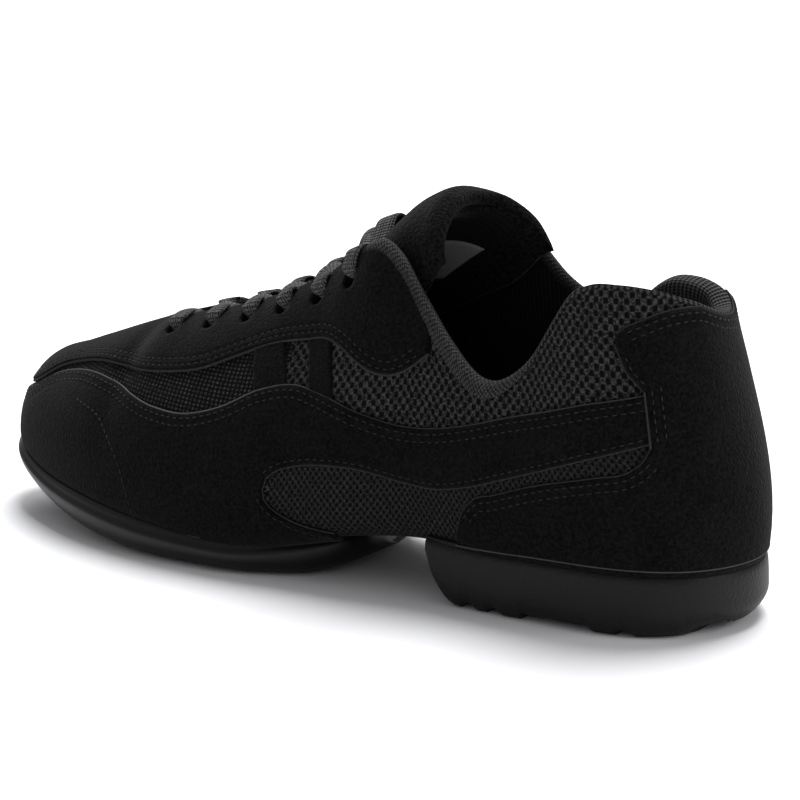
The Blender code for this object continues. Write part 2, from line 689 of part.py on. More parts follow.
def insole(look, home):
    """Flat insole on the lasting margin, clear of the rounded corners inside."""
    rings = []
    rows = ((0.45, 1.0), (0.50, 0.45), (0.90, 0.0))
    for s in STATIONS[::2] + STATIONS[-1:]:
        ring = []
        for sign, side_rows in ((1, rows), (-1, tuple(reversed(rows)))):
            for share, height in side_rows:
                point = foot(sign * s).copy()
                point[:2] -= outward(sign * s) * (WALL + GAP + share * corner(s))
                point[2] = bed(point[0]) + WALL + GAP + height * INSOLE
                ring.append(point)
        rings.append(ring)
    return ring_loft("insole", rings, look, home)


def tongue_rows():
    """Outer surface of the tongue: rows of points from the medial edge to the lateral edge."""
    clear = WALL + TAPE + 3 * GAP
    rows, walls = [], []
    for s, lift, thickness in TONGUE_TUCKED:
        heights = TONGUE_ROWS + ((TONGUE_CLOSED,) if s <= THROAT_FRONT else (1.0,))
        lateral = list(over(s, heights, -clear))
        medial = list(over(-s, heights, -clear))
        crown = (skin(s, 1.0) + skin(-s, 1.0)) / 2 + np.array((0, 0, lift * TONGUE))
        rows.append(medial + [crown] + list(reversed(lateral)))
        walls.append(thickness * TONGUE)
    for crown_x, crown_z, wing_x, wing_y, wing_z, roll in TONGUE_FREE:
        row = []
        for i in range(9):
            a = (i - 4) / 4 * pi / 2
            x = wing_x + (crown_x - wing_x) * cos(a)
            z = wing_z + (crown_z - wing_z) * cos(a)
            row.append(np.array((x * LENGTH, wing_y * sin(a) * BALL_WIDTH, z * COLLAR_HEIGHT)))
        rows.append(row)
        walls.append(roll * TONGUE_ROLL)
    return np.array(rows), walls


def tongue(look, home):
    """Padded tongue, tucked under the eyestay, with a thick roll at its top."""
    rows, walls = tongue_rows()
    along_row = np.gradient(rows, axis=1)
    across = np.gradient(rows, axis=0)
    n = np.cross(across, along_row)
    n = n / np.linalg.norm(n, axis=-1, keepdims=True)
    if n[5, 4, 2] < 0:
        n = -n
    rings = []
    for row, normal, wall in zip(rows, n, walls):
        inner = row - normal * wall
        ends = [(row[0] + inner[0]) / 2, (row[-1] + inner[-1]) / 2]
        rings.append([ends[0]] + list(row[1:-1]) + [ends[1]] + list(inner[-2:0:-1]))
    last = np.array(rings[-1])
    middle = (last + last[[(-i) % len(last) for i in range(len(last))]]) / 2
    lead = (rows[-1][4] - rows[-2][4]) * 0.6
    rings.append(list(last * 0.35 + middle * 0.65 + lead))
    return ring_loft("tongue", rings, look, home)


def eyelet_ribs():
    return spread(EYELET_FIRST, EYELET_LAST, EYELETS)


def eyelet_cutter(look, cutters):
    """Punches through the eyestay and the upper behind it, both sides."""
    bm = bmesh.new()
    for s in eyelet_ribs():
        for sign in (1, -1):
            q = q_below_top(sign * s, EYELET_INSET)
            centre = Vector(over(sign * s, q, 0))
            n = Vector(skin_normal(sign * s, q))
            length = 2 * (WALL + OVERLAY + 4 * GAP)
            where = Matrix.Translation(centre) @ n.to_track_quat("Z", "Y").to_matrix().to_4x4()
            bmesh.ops.create_cone(bm, cap_ends=True, segments=8, radius1=EYELET_RADIUS,
                                  radius2=EYELET_RADIUS, depth=length, matrix=where)
    mesh = bpy.data.meshes.new("eyelet_cutter")
    bm.to_mesh(mesh)
    bm.free()
    return add("eyelet_cutter", mesh, look, cutters)


def smooth_path(points, count):
    """Evenly spaced points on a smooth curve through a few points."""
    points = np.array(points)
    run = np.concatenate([[0], np.cumsum(np.linalg.norm(np.diff(points, axis=0), axis=1))])
    slopes = np.gradient(points, run, axis=0)
    path = []
    for at in np.linspace(0, run[-1], count):
        i = min(int(np.searchsorted(run, at, side="right")) - 1, len(points) - 2)
        step = run[i + 1] - run[i]
        u = (at - run[i]) / step
        path.append(hermite(points[i], points[i + 1], slopes[i] * step, slopes[i + 1] * step, u))
    return np.array(path)


def tongue_at(s, rows):
    """The tongue's row of points under rib s."""
    ribs = [r[0] for r in TONGUE_TUCKED]
    i = min(int(np.searchsorted(ribs, s)), len(ribs) - 1)
    share = (s - ribs[i - 1]) / (ribs[i] - ribs[i - 1])
    return rows[i - 1] + (rows[i] - rows[i - 1]) * share


def lace_strap(start, end, lift, rows):
    """Strap of flat lace from above the hole at rib start down to the tongue before the far edge."""
    height = OVERLAY_GAP + OVERLAY + 3 * GAP + LACE / 2
    up = np.array((0, 0, LACE / 2 + 8 * GAP))
    near = tongue_at(abs(start), rows)[4]
    far = tongue_at(abs(end), rows)
    edge = far[3] if end < 0 else far[5]
    crown = (near + far[4]) / 2 + np.array((0, 0, LACE + 9 * GAP))
    crown[2] = max(crown[2], (top(start)[2] + top(end)[2]) / 2 + LACE) + lift
    knots = over_edge(start, height) + [crown, far[4] * 0.3 + edge * 0.7 + up]
    return strap(knots, start, end)


def over_edge(s, height):
    """Points over the eyestay from the hole at rib s to the throat's edge."""
    return list(over(s, (q_below_top(s, EYELET_INSET), q_below_top(s, EYELET_INSET / 2), 1.0), height))


def lace_bar(s, rows):
    """Strap between the two eyelets at rib s, over both edges of the throat."""
    height = OVERLAY_GAP + OVERLAY + 3 * GAP + LACE / 2
    crown = tongue_at(s, rows)[4] + np.array((0, 0, 2.5 * LACE + 4 * GAP))
    return strap(over_edge(s, height) + [crown] + over_edge(-s, height)[::-1], s, -s)


def strap(knots, start, end):
    """Rings of a flat strap along a smooth path, square to the upper at both ends."""
    path = smooth_path(knots, LACE_STEPS)
    tangents = np.gradient(path, axis=0)
    tangents = tangents / np.linalg.norm(tangents, axis=1, keepdims=True)
    ups = smooth_path([skin_normal(start, 0.9), (0.35, 0, 0.94), skin_normal(end, 0.9)], len(path))
    rings = []
    for centre, tangent, up in zip(path, tangents, ups):
        up = up - tangent * np.dot(up, tangent)
        up = up / np.linalg.norm(up)
        across = np.cross(up, tangent)
        rings.append([centre + across * a * LACE_WIDTH / 2 + up * b * LACE / 2
                      for a, b in ((1, 1), (-1, 1), (-1, -1), (1, -1))])
    return rings


def laces(look, home, cutters):
    """Five crossings, each two straps joined, and the bar between the top eyelets."""
    ribs = eyelet_ribs()
    rows = tongue_rows()[0]
    for number, (low, high) in enumerate(zip(ribs, ribs[1:]), start=1):
        made = ring_loft(f"lace_crossing_{number}", lace_strap(low, -high, LACE / 2, rows), look, home)
        under = ring_loft(f"lace_under_{number}", lace_strap(-low, high, 0, rows), look, cutters)
        under.hide_render = True
        under.display_type = "WIRE"
        join = made.modifiers.new("join", "BOOLEAN")
        join.operation = "UNION"
        join.object = under
    ring_loft("lace_bar_top", lace_bar(ribs[-1], rows), look, home)


def stand_at_origin(home):
    """Centre the shoe's bounds on X and Y, with its lowest point on the floor."""
    bpy.context.view_layer.update()
    graph = bpy.context.evaluated_depsgraph_get()
    corners = []
    for made in home.objects:
        mesh = made.evaluated_get(graph).to_mesh()
        corners += [v.co.copy() for v in mesh.vertices]
    low = [min(c[i] for c in corners) for i in range(3)]
    high = [max(c[i] for c in corners) for i in range(3)]
    shift = Vector((-(low[0] + high[0]) / 2, -(low[1] + high[1]) / 2, -low[2]))
    root = bpy.data.objects.new("sneaker", None)
    home.objects.link(root)
    root.location = shift
    return root


def main():
    for old in list(bpy.data.objects):
        bpy.data.objects.remove(old)
    home = collection("dance_sneaker")
    cutters = collection("cutters")
    suede = material("suede", (0.020, 0.021, 0.023), 0.9)
    mesh_cloth = material("mesh_cloth", (0.030, 0.031, 0.033), 0.8)
    rubber = material("rubber", (0.035, 0.036, 0.038), 0.6)
    gloss = material("gloss_rubber", (0.020, 0.020, 0.021), 0.3, 0.3)
    knit = material("knit", (0.060, 0.061, 0.062), 0.9)
    lace = material("lace", (0.150, 0.150, 0.150), 0.8)
    body = upper(mesh_cloth, home)
    eyestay = vamp_eyestay(suede, home)
    punch = eyelet_cutter(suede, cutters)
    cut(body, punch)
    cut(eyestay, punch)
    side_guard(suede, home)
    heel_counter(suede, home)
    for side_name, sign in (("lateral", 1), ("medial", -1)):
        for place, (foot_rib, head_rib, width) in zip(("front", "rear"), STRAPS):
            instep_strap(f"instep_strap_{side_name}_{place}", sign, foot_rib, head_rib, width, suede, home)
    collar_tape(knit, home)
    forefoot_sole(gloss, home)
    heel_block(rubber, home, cutters)
    insole(knit, home)
    tongue(suede, home)
    laces(lace, home, cutters)
    root = stand_at_origin(home)
    for made in list(home.objects) + list(cutters.objects):
        if made is not root:
            made.parent = root


main()
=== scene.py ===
# %% [markdown]
# # A black split-sole dance sneaker
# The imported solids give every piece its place. On the real shoe the upper is mesh over a last,
# with suede panels sewn on it, so every cloth and suede piece here is drawn on that last's own
# surface, finer than the solids, and then gets its seams, stitches and finish.

# %% Load the frame
import bpy
import bmesh
import numpy as np
from math import cos, pi, radians, sin
from mathutils import Euler, Matrix, Vector
from mathutils.kdtree import KDTree


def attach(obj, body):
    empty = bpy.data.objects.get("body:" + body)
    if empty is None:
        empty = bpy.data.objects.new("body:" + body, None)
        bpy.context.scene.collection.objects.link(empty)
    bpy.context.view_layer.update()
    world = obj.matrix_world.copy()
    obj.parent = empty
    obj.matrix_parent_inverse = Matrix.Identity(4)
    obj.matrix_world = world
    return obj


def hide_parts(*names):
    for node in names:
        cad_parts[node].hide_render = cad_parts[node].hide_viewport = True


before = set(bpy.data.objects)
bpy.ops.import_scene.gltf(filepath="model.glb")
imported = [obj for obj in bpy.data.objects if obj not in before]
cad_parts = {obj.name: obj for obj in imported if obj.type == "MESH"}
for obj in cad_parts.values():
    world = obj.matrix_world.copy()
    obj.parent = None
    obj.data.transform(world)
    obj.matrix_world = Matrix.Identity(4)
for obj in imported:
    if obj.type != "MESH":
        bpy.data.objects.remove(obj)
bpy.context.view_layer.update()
print("nodes:", len(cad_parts))

# %% [markdown]
# ## Camera, floor and light
# The camera's place, direction and lens were solved from points of the shoe that are easy to find
# in the photograph. The floor is white and the light is soft and comes from above and behind, so
# that the black suede shows a pale rim and the mesh shows its holes.

# %% Camera
SHIFT = Vector((-0.134787, 0.003846, 0.0))
CAMERA_YAW = radians(33.13)
CAMERA_PITCH = radians(12.82)
camera_data = bpy.data.cameras.new("camera")
camera_data.sensor_width = 36.0
camera_data.lens = 2591.7 / 800 * 36.0
camera_data.clip_end = 20.0
camera = bpy.data.objects.new("camera", camera_data)
bpy.context.scene.collection.objects.link(camera)
camera.location = Vector((-0.29042, 0.62604, 0.21940)) + SHIFT
camera.rotation_euler = Euler((pi / 2 - CAMERA_PITCH, 0, pi + CAMERA_YAW))
bpy.context.scene.camera = camera
print("lens:", round(camera_data.lens, 1), "mm")

# %% Light
bpy.context.scene.view_settings.view_transform = "Standard"
world = bpy.data.worlds.new("studio")
bpy.context.scene.world = world
world.use_nodes = True
world.node_tree.nodes["Background"].inputs["Color"].default_value = (1.0, 1.0, 1.0, 1.0)
world.node_tree.nodes["Background"].inputs["Strength"].default_value = 0.35


def lamp(name, place, target, size, power):
    """A square soft light that looks at a point."""
    data = bpy.data.lights.new(name, "AREA")
    data.size = size
    data.energy = power
    made = bpy.data.objects.new(name, data)
    bpy.context.scene.collection.objects.link(made)
    made.location = place
    made.rotation_euler = (Vector(target) - Vector(place)).to_track_quat("-Z", "Y").to_euler()
    return made


lamp("heel_side", (-1.0, -0.15, 0.55), (-0.10, 0.0, 0.05), 0.5, 3.0)
lamp("toe_side", (0.7, -0.9, 0.8), (0.05, 0.0, 0.05), 0.6, 9.0)
sky_data = bpy.data.lights.new("soft_sky", "SUN")
sky_data.energy = 3.5
sky_data.angle = 0.55
sky = bpy.data.objects.new("soft_sky", sky_data)
bpy.context.scene.collection.objects.link(sky)
sky.rotation_euler = Vector((-0.08, 0.42, -1.0)).to_track_quat("-Z", "Y").to_euler()

# %% [markdown]
# ## Finishes
# Shader maths reads best as ordinary expressions. `Socket` wraps one output, and its operators add
# the Math nodes. Any other node is made by `Finish.node`, which takes a type, settings and inputs.


# %% Sockets as expressions
class Socket:
    """One number output of a node, for use in Python expressions."""

    def __init__(self, finish, output):
        self.finish = finish
        self.output = output

    def math(self, operation, *others):
        inputs = {i: value for i, value in enumerate((self, *others))}
        return self.finish.node("ShaderNodeMath", {"operation": operation}, inputs)

    def __add__(self, other):
        return self.math("ADD", other)

    def __sub__(self, other):
        return self.math("SUBTRACT", other)

    def __rsub__(self, other):
        return (self * -1) + other

    def __mul__(self, other):
        return self.math("MULTIPLY", other)

    __radd__ = __add__
    __rmul__ = __mul__

    def sine(self):
        return self.math("SINE")

    def between(self, low, high):
        """0 below low, 1 above high, and a soft step between them."""
        settings = {"interpolation_type": "SMOOTHSTEP"}
        return self.finish.node("ShaderNodeMapRange", settings, {"Value": self, 1: low, 2: high})


# %% One finish
class Finish:
    """A material whose Principled shader is fed by expressions."""

    def __init__(self, name, roughness, specular=0.3, sheen=0.0, coat=0.0):
        self.material = bpy.data.materials.new(name)
        self.material.use_nodes = True
        self.tree = self.material.node_tree
        self.shader = self.tree.nodes["Principled BSDF"]
        self.shader.inputs["Roughness"].default_value = roughness
        self.shader.inputs["Specular IOR Level"].default_value = specular
        self.shader.inputs["Sheen Weight"].default_value = sheen
        self.shader.inputs["Sheen Roughness"].default_value = 0.45
        self.shader.inputs["Coat Weight"].default_value = coat

    def node(self, kind, settings, inputs, output=0):
        made = self.tree.nodes.new(kind)
        for key, value in settings.items():
            setattr(made, key, value)
        for key, value in inputs.items():
            if isinstance(value, Socket):
                self.tree.links.new(value.output, made.inputs[key])
            else:
                made.inputs[key].default_value = value
        return Socket(self, made.outputs[output])

    def place(self):
        return self.node("ShaderNodeTexCoord", {}, {}, "Object")

    def runs(self):
        """Metres along and up the piece, from its UV map."""
        uv = self.node("ShaderNodeUVMap", {"uv_map": "run"}, {})
        split = self.node("ShaderNodeSeparateXYZ", {}, {"Vector": uv})
        return split, Socket(self, split.output.node.outputs["Y"])

    def noise(self, scale, detail=2.0, where=None):
        inputs = {"Vector": where or self.place(), "Scale": scale, "Detail": detail}
        return self.node("ShaderNodeTexNoise", {}, inputs)

    def attribute(self, name):
        return self.node("ShaderNodeAttribute", {"attribute_name": name}, {}, "Fac")

    def mix(self, share, first, second):
        """A colour between two, each a grey level or another mix."""
        first = (first, first, first * 1.03, 1) if isinstance(first, float) else first
        second = (second, second, second * 1.03, 1) if isinstance(second, float) else second
        inputs = {"Factor": share, 6: first, 7: second}
        return self.node("ShaderNodeMix", {"data_type": "RGBA"}, inputs, 2)

    def wear(self, colour=None, bump=None, depth=0.0003, roughness=None):
        """Feeds the shader."""
        if colour:
            self.tree.links.new(colour.output, self.shader.inputs["Base Color"])
        if roughness:
            self.tree.links.new(roughness.output, self.shader.inputs["Roughness"])
        if bump:
            inputs = {"Height": bump, "Distance": depth, "Strength": 1.0}
            normal = self.node("ShaderNodeBump", {}, inputs)
            self.tree.links.new(normal.output, self.shader.inputs["Normal"])
        return self.material


# %% Suede
suede_finish = Finish("suede", roughness=0.95, specular=0.03, sheen=0.045)
nap = suede_finish.noise(1100.0, 3.0)
brushed = suede_finish.noise(90.0, 3.0)
suede = suede_finish.wear(
    suede_finish.mix((nap * 0.84 + brushed * 0.16).between(0.22, 0.80), 0.0012, 0.0088),
    nap * 0.7 + suede_finish.noise(420.0) * 0.3, 0.00055)
print("suede nap at", round(1000 / 1100, 2), "mm")

# %% Open mesh, coarse on the sides and fine along the vamp
mesh_finish = Finish("mesh_cloth", roughness=0.75, specular=0.08, sheen=0.02)
along, up = mesh_finish.runs()
fine = mesh_finish.attribute("fine")


def staggered(along, up, pitch, rows, shift=0.0):
    """Rows of round cells, each row moved half a cell: 1 at a cell's middle, -1 between cells."""
    return ((along * (2 * pi / pitch) + shift).sine()) * ((up * (pi / rows) + shift).sine())


def dots(along, up, pitch, rows):
    """Rows of thread loops, one above the other: 1 at a loop, 0 between loops."""
    return ((along * (2 * pi / pitch)).sine() + 1) * ((up * (2 * pi / rows)).sine() + 1) * 0.25


thread_grain = mesh_finish.noise(1500.0, 2.0)
holes = (staggered(along, up, 0.0031, 0.0018) + thread_grain * 0.5).between(0.15, 0.75)
low_holes = (staggered(along, up, 0.0021, 0.0013) + thread_grain * 0.5).between(0.20, 0.80)
slits = 1 - dots(along, up, 0.0016, 0.0013).between(0.12, 0.55)
at_vamp = fine.between(0.4, 0.6)
at_waist = (fine * -1).between(0.4, 0.6)
hole = (holes * (1 - at_waist) + low_holes * at_waist) * (1 - at_vamp) + slits * at_vamp
mesh_cloth = mesh_finish.wear(
    mesh_finish.mix(hole, mesh_finish.mix(
        thread_grain.between(0.35, 0.70) * (1 - at_waist * 0.60), 0.007, 0.058), 0.0006),
    (1 - hole) + thread_grain * 0.35, 0.0009)

# %% Knits, lace, thread and cut edges
tape_finish = Finish("knit_tape", roughness=0.8, specular=0.1, sheen=0.05)
along, up = tape_finish.runs()
rib_and_painted_shade_mark = tape_finish.attribute("rib_and_painted_shade_mark")
# Where the marks are -1, on the tape's inside in front of the ear, the colour is a flat dark grey:
# painted shade where that side faces away from the light.
inside_painted_shade = (rib_and_painted_shade_mark * -1).between(0.4, 0.6)
loops = staggered(along, up, 0.0013, 0.0008) + tape_finish.noise(1600.0, 2.0) * 3 - 1.5
ribs_across = (along * (2 * pi / 0.0017)).sine() + (up * (2 * pi / 0.0009)).sine() * 0.5
rib_share = rib_and_painted_shade_mark.between(0.4, 0.6)
stitch = loops * (1 - rib_share) + ribs_across * rib_share
knit_tape = tape_finish.wear(
    tape_finish.mix(inside_painted_shade, tape_finish.mix(stitch.between(-0.8, 0.9), 0.052, 0.003), 0.008),
    stitch * -1, 0.0003)
lining_finish = Finish("knit_lining", roughness=0.9, specular=0.04, sheen=0.03)
along, up = lining_finish.runs()
rib = (along * (2 * pi / 0.0016)).sine()
knit_lining = lining_finish.wear(
    lining_finish.mix(rib.between(-1.0, 1.0), 0.005, 0.011), rib, 0.0001)
lace_finish = Finish("lace_weave", roughness=0.7, specular=0.12, sheen=0.05)
along, up = lace_finish.runs()
weave = (((along + up) * (2 * pi / 0.0022)).sine() * ((along - up) * (2 * pi / 0.0022)).sine()
         + (up * (2 * pi / 0.0008)).sine() * 0.5)
lace_weave = lace_finish.wear(
    lace_finish.mix(weave.between(-0.7, 0.7), 0.006, 0.105), weave, 0.0004)
thread_finish = Finish("thread", roughness=0.5, specular=0.15)
thread = thread_finish.wear(thread_finish.mix(thread_finish.noise(900.0), 0.006, 0.020))
edge_finish = Finish("cut_edge", roughness=0.8, specular=0.1)
# The cut edges are dark suede, lightened toward pale grey by these marks: a painted highlight where
# the light catches the edges.
edge_highlight_share = edge_finish.attribute("painted_highlight")
cut_edge = edge_finish.wear(edge_finish.mix(
    edge_highlight_share, edge_finish.mix(edge_finish.noise(700.0), 0.004, 0.03), 0.13))
label_finish = Finish("woven_label", roughness=0.8, specular=0.2)
woven_label = label_finish.wear(label_finish.mix(label_finish.noise(1800.0), 0.10, 0.19))

# %% Rubbers
rubber_finish = Finish("heel_rubber", roughness=0.52, specular=0.20)
skin_grain = rubber_finish.noise(1000.0, 2.0)
heel_rubber = rubber_finish.wear(
    rubber_finish.mix(rubber_finish.noise(60.0), 0.0055, 0.0085), skin_grain, 0.00022)
gloss_finish = Finish("gloss_rubber", roughness=0.40, specular=0.28, coat=0.02)
gloss_rubber = gloss_finish.wear(
    gloss_finish.mix(gloss_finish.noise(80.0), 0.0012, 0.0028),
    gloss_finish.noise(500.0), 0.00003, gloss_finish.noise(120.0) * 0.10 + 0.36)

# %% Floor
floor_finish = Finish("floor", roughness=0.9, specular=0.1)
floor_mesh = bpy.data.meshes.new("floor")
bm = bmesh.new()
bmesh.ops.create_grid(bm, x_segments=1, y_segments=1, size=6.0)
bm.to_mesh(floor_mesh)
bm.free()
floor = bpy.data.objects.new("floor", floor_mesh)
bpy.context.scene.collection.objects.link(floor)
floor_mesh.materials.append(floor_finish.wear(
    floor_finish.mix(floor_finish.noise(3.0), 0.90, 0.93)))

# %% [markdown]
# ## The last
# A shoemaker starts from a last. Here it is a loop of ribs: rib 0 at the toe tip, rib 11 at the
# heel, lateral ribs between them, and medial ribs with a minus sign. Height q on a rib runs from
# -1 under the rounded bottom corner over 0 at its top to 1 at the top line or the ridge.

# %% Sizes and tables of the last
# Lengths are in metres. THROAT_FRONT and the single numbers after it are rib numbers.
LENGTH = 0.268
BALL_WIDTH = 0.084
HEEL_LIFT = 0.017
COLLAR_HEIGHT = 0.095
WALL = 0.0025
ARCH_RADIUS = 0.012
LASTING = 0.011
GAP = 0.0003
OVERLAY = 0.0016
TURN = 22
THROAT_FRONT = 3.3
ARCH_FRONT = 5.3
ARCH_REAR = 7.6
TAPE_START = 6.05
MEDALLION_ROUND = 5.42
MEDALLION_END = 6.05
VAMP_END = 7.1
WING_FRONT = 7.43
LOBE_FRONT = 9.16
COUNTER_FRONT = 9.47
# Footprint: rib, x, lateral y, medial y, z
FOOT = (
    (0, 0.994, -0.105, -0.105, 1.20), (1, 0.965, 0.075, -0.300, 1.08),
    (2, 0.893, 0.236, -0.450, 0.90), (3, 0.791, 0.381, -0.524, 0.77),
    (4, 0.679, 0.458, -0.548, 0.62), (5, 0.560, 0.464, -0.470, 0.55),
    (6, 0.448, 0.417, -0.345, 0.80), (7, 0.343, 0.363, -0.305, 0.98),
    (8, 0.224, 0.369, -0.351, 1.00), (9, 0.104, 0.345, -0.345, 1.00),
    (10, 0.037, 0.226, -0.232, 1.00), (11, 0.011, 0.0, 0.0, 1.00),
)
# Top line: rib, x, lateral y and z, medial y and z
TOP = (
    (0.0, 0.890, -0.095, 0.530, -0.095, 0.530), (1.0, 0.876, -0.095, 0.545, -0.095, 0.545),
    (2.0, 0.840, -0.083, 0.590, -0.083, 0.590), (3.0, 0.778, -0.060, 0.655, -0.060, 0.655),
    (3.3, 0.757, -0.060, 0.675, -0.060, 0.675), (3.5, 0.735, 0.024, 0.690, -0.143, 0.690),
    (4.0, 0.672, 0.071, 0.732, -0.167, 0.737), (5.0, 0.560, 0.119, 0.832, -0.179, 0.842),
    (5.6, 0.489, 0.155, 0.926, -0.190, 0.937), (6.0, 0.444, 0.196, 1.016, -0.214, 1.030),
    (6.3, 0.416, 0.226, 1.050, -0.231, 1.072), (6.6, 0.388, 0.250, 1.010, -0.250, 1.100),
    (7.0, 0.352, 0.274, 0.885, -0.262, 1.090), (7.3, 0.318, 0.298, 0.775, -0.275, 1.020),
    (7.6, 0.280, 0.321, 0.690, -0.290, 0.910), (7.9, 0.245, 0.333, 0.697, -0.305, 0.855),
    (8.15, 0.213, 0.333, 0.775, -0.320, 0.850), (8.35, 0.190, 0.330, 0.885, -0.318, 0.875),
    (8.55, 0.172, 0.324, 0.965, -0.310, 0.915), (8.8, 0.153, 0.312, 0.997, -0.300, 0.945),
    (9.2, 0.122, 0.290, 1.003, -0.280, 0.955), (9.7, 0.088, 0.240, 0.990, -0.240, 0.935),
    (10.3, 0.063, 0.140, 0.955, -0.140, 0.900), (11.0, 0.054, 0.0, 0.910, 0.0, 0.910),
)
# Bulge: rib, out and up at the side, out and drop under the top
SIDE = (
    (0, 0.030, 0.58, 0.200, 0.00), (1, 0.030, 0.57, 0.215, 0.00), (2, 0.035, 0.53, 0.240, 0.00),
    (3, 0.040, 0.48, 0.280, 0.00), (3.3, 0.040, 0.47, 0.285, 0.02),
    (3.5, 0.040, 0.465, 0.222, 0.03), (4, 0.040, 0.45, 0.225, 0.08), (5, 0.035, 0.40, 0.200, 0.15),
    (6, 0.040, 0.35, 0.120, 0.25), (7, 0.045, 0.35, 0.050, 0.30), (8, 0.050, 0.35, 0.045, 0.35),
    (9, 0.050, 0.35, 0.050, 0.35), (10, 0.045, 0.35, 0.050, 0.33), (11, 0.045, 0.35, 0.050, 0.33),
)
CORNER = (
    (0, 0.36), (2, 0.36), (4, 0.38), (4.8, 0.42), (5.3, 0.55), (5.8, 0.75), (6.2, 0.80),
    (6.8, 0.70), (7.2, 0.48), (7.6, 0.38), (8, 0.36), (9, 0.34), (11, 0.34),
)


# %% Smooth curves through the tables
def hermite(start, end, start_slope, end_slope, u):
    """Cubic curve between two values, with its slopes at both ends."""
    return ((2 * u**3 - 3 * u**2 + 1) * start + (u**3 - 2 * u**2 + u) * start_slope
            + (3 * u**2 - 2 * u**3) * end + (u**3 - u**2) * end_slope)


def curve(knots, values, at):
    """Smooth curve through rows of values at knots, read at many places."""
    knots = np.asarray(knots, float)
    values = np.asarray(values, float)
    slopes = np.gradient(values, knots, axis=0)
    at = np.clip(at, knots[0], knots[-1])
    i = np.clip(np.searchsorted(knots, at, side="right") - 1, 0, len(knots) - 2)
    step = knots[i + 1] - knots[i]
    u = (at - knots[i]) / step
    if values.ndim > 1:
        step = step[..., None]
        u = u[..., None]
    return hermite(values[i], values[i + 1], slopes[i] * step, slopes[i + 1] * step, u)


def closed_loop(rows, lateral, medial):
    """Function of the rib number that runs round the whole shoe."""
    back = list(reversed(rows[1:-1]))
    knots = np.array([r[0] for r in rows] + [TURN - r[0] for r in back], float)
    values = np.array([lateral(r) for r in rows] + [medial(r) for r in back], float)
    knots = np.concatenate([knots - TURN, knots, knots + TURN])
    values = np.concatenate([values, values, values])
    return lambda s: curve(knots, values, np.mod(np.asarray(s, float), TURN))


foot = closed_loop(FOOT, lambda r: (r[1] * LENGTH, r[2] * BALL_WIDTH, r[4] * HEEL_LIFT),
                   lambda r: (r[1] * LENGTH, r[3] * BALL_WIDTH, r[4] * HEEL_LIFT))
top = closed_loop(TOP, lambda r: (r[1] * LENGTH, r[2] * BALL_WIDTH, r[3] * COLLAR_HEIGHT),
                  lambda r: (r[1] * LENGTH, r[4] * BALL_WIDTH, r[5] * COLLAR_HEIGHT))
side = closed_loop(SIDE, lambda r: r[1:], lambda r: r[1:])
corner = closed_loop(CORNER, lambda r: r[1] * ARCH_RADIUS, lambda r: r[1] * ARCH_RADIUS)
BED_S = np.linspace(0, 11, 441)
BED = foot(BED_S)


def bed(x):
    """Height of the last's flat bottom at x."""
    return np.interp(x, BED[::-1, 0], BED[::-1, 2])


def table(rows, s):
    """A border table read at ribs s, the same on both sides."""
    near = np.minimum(np.mod(s, TURN), np.mod(-np.asarray(s, float), TURN))
    return curve([r[0] for r in rows], [r[1] for r in rows], near)


print("footprint:", np.round(foot(0)[0] * 1000), "mm long")


# %% The last's surface
def outward(s):
    """Horizontal unit normal of the footprint."""
    s = np.asarray(s, float)
    d = foot(s + 0.01) - foot(s - 0.01)
    n = np.stack([d[..., 1], -d[..., 0]], -1)
    return n / np.linalg.norm(n, axis=-1, keepdims=True)


def rib_line(s, t):
    """Outer surface at rib s from the footprint's edge (t = 0) to the top line (t = 1)."""
    f, p, bulge = foot(s), top(s), side(s)
    n = outward(s)
    rise = p[..., 2] - f[..., 2]
    toward = (f - p)[..., :2]
    width = np.linalg.norm(toward, axis=-1, keepdims=True)
    wide = np.clip((width - 0.1 * BALL_WIDTH) / (0.15 * BALL_WIDTH), 0, 1)
    crown = toward / np.maximum(width, 1e-5) * wide + n * (1 - wide)
    crown = crown / np.linalg.norm(crown, axis=-1, keepdims=True)
    low, high = f.copy(), p.copy()
    low[..., :2] += n * bulge[..., 0:1] * BALL_WIDTH
    low[..., 2] += bulge[..., 1] * rise
    high[..., :2] += crown * bulge[..., 2:3] * BALL_WIDTH
    high[..., 2] -= bulge[..., 3] * rise
    t = t[..., None]
    return (1 - t)**3 * f + 3 * (1 - t)**2 * t * low + 3 * (1 - t) * t**2 * high + t**3 * p


def last(s, q):
    """Point of the last's skin at rib s and height q."""
    s, q = np.broadcast_arrays(np.asarray(s, float), np.asarray(q, float))
    end = corner(s) / (3 * side(s)[..., 1] * (top(s)[..., 2] - foot(s)[..., 2]))
    wall = rib_line(s, end + (1 - end) * np.clip(q, 0, 1))
    f = foot(s)
    inner = f.copy()
    inner[..., :2] -= outward(s) * corner(s)[..., None]
    inner[..., 2] = bed(inner[..., 0])
    c = np.clip(q + 1, 0, 1)[..., None]
    bend = (1 - c)**2 * inner + 2 * c * (1 - c) * f + c**2 * rib_line(s, end)
    return np.where((q < 0)[..., None], bend, wall)


def last_normal(s, q):
    """Outward unit normal. Both sides share one on the closed ridge over the toes."""
    s, q = np.broadcast_arrays(np.asarray(s, float), np.asarray(q, float))
    beside = np.minimum(q, 0.96)
    along_s = last(s + 0.02, beside) - last(s - 0.02, beside)
    along_q = last(s, np.minimum(q + 0.02, 1)) - last(s, np.maximum(q - 0.02, -1))
    n = np.cross(along_s, along_q)
    return n / np.maximum(np.linalg.norm(n, axis=-1, keepdims=True), 1e-12)
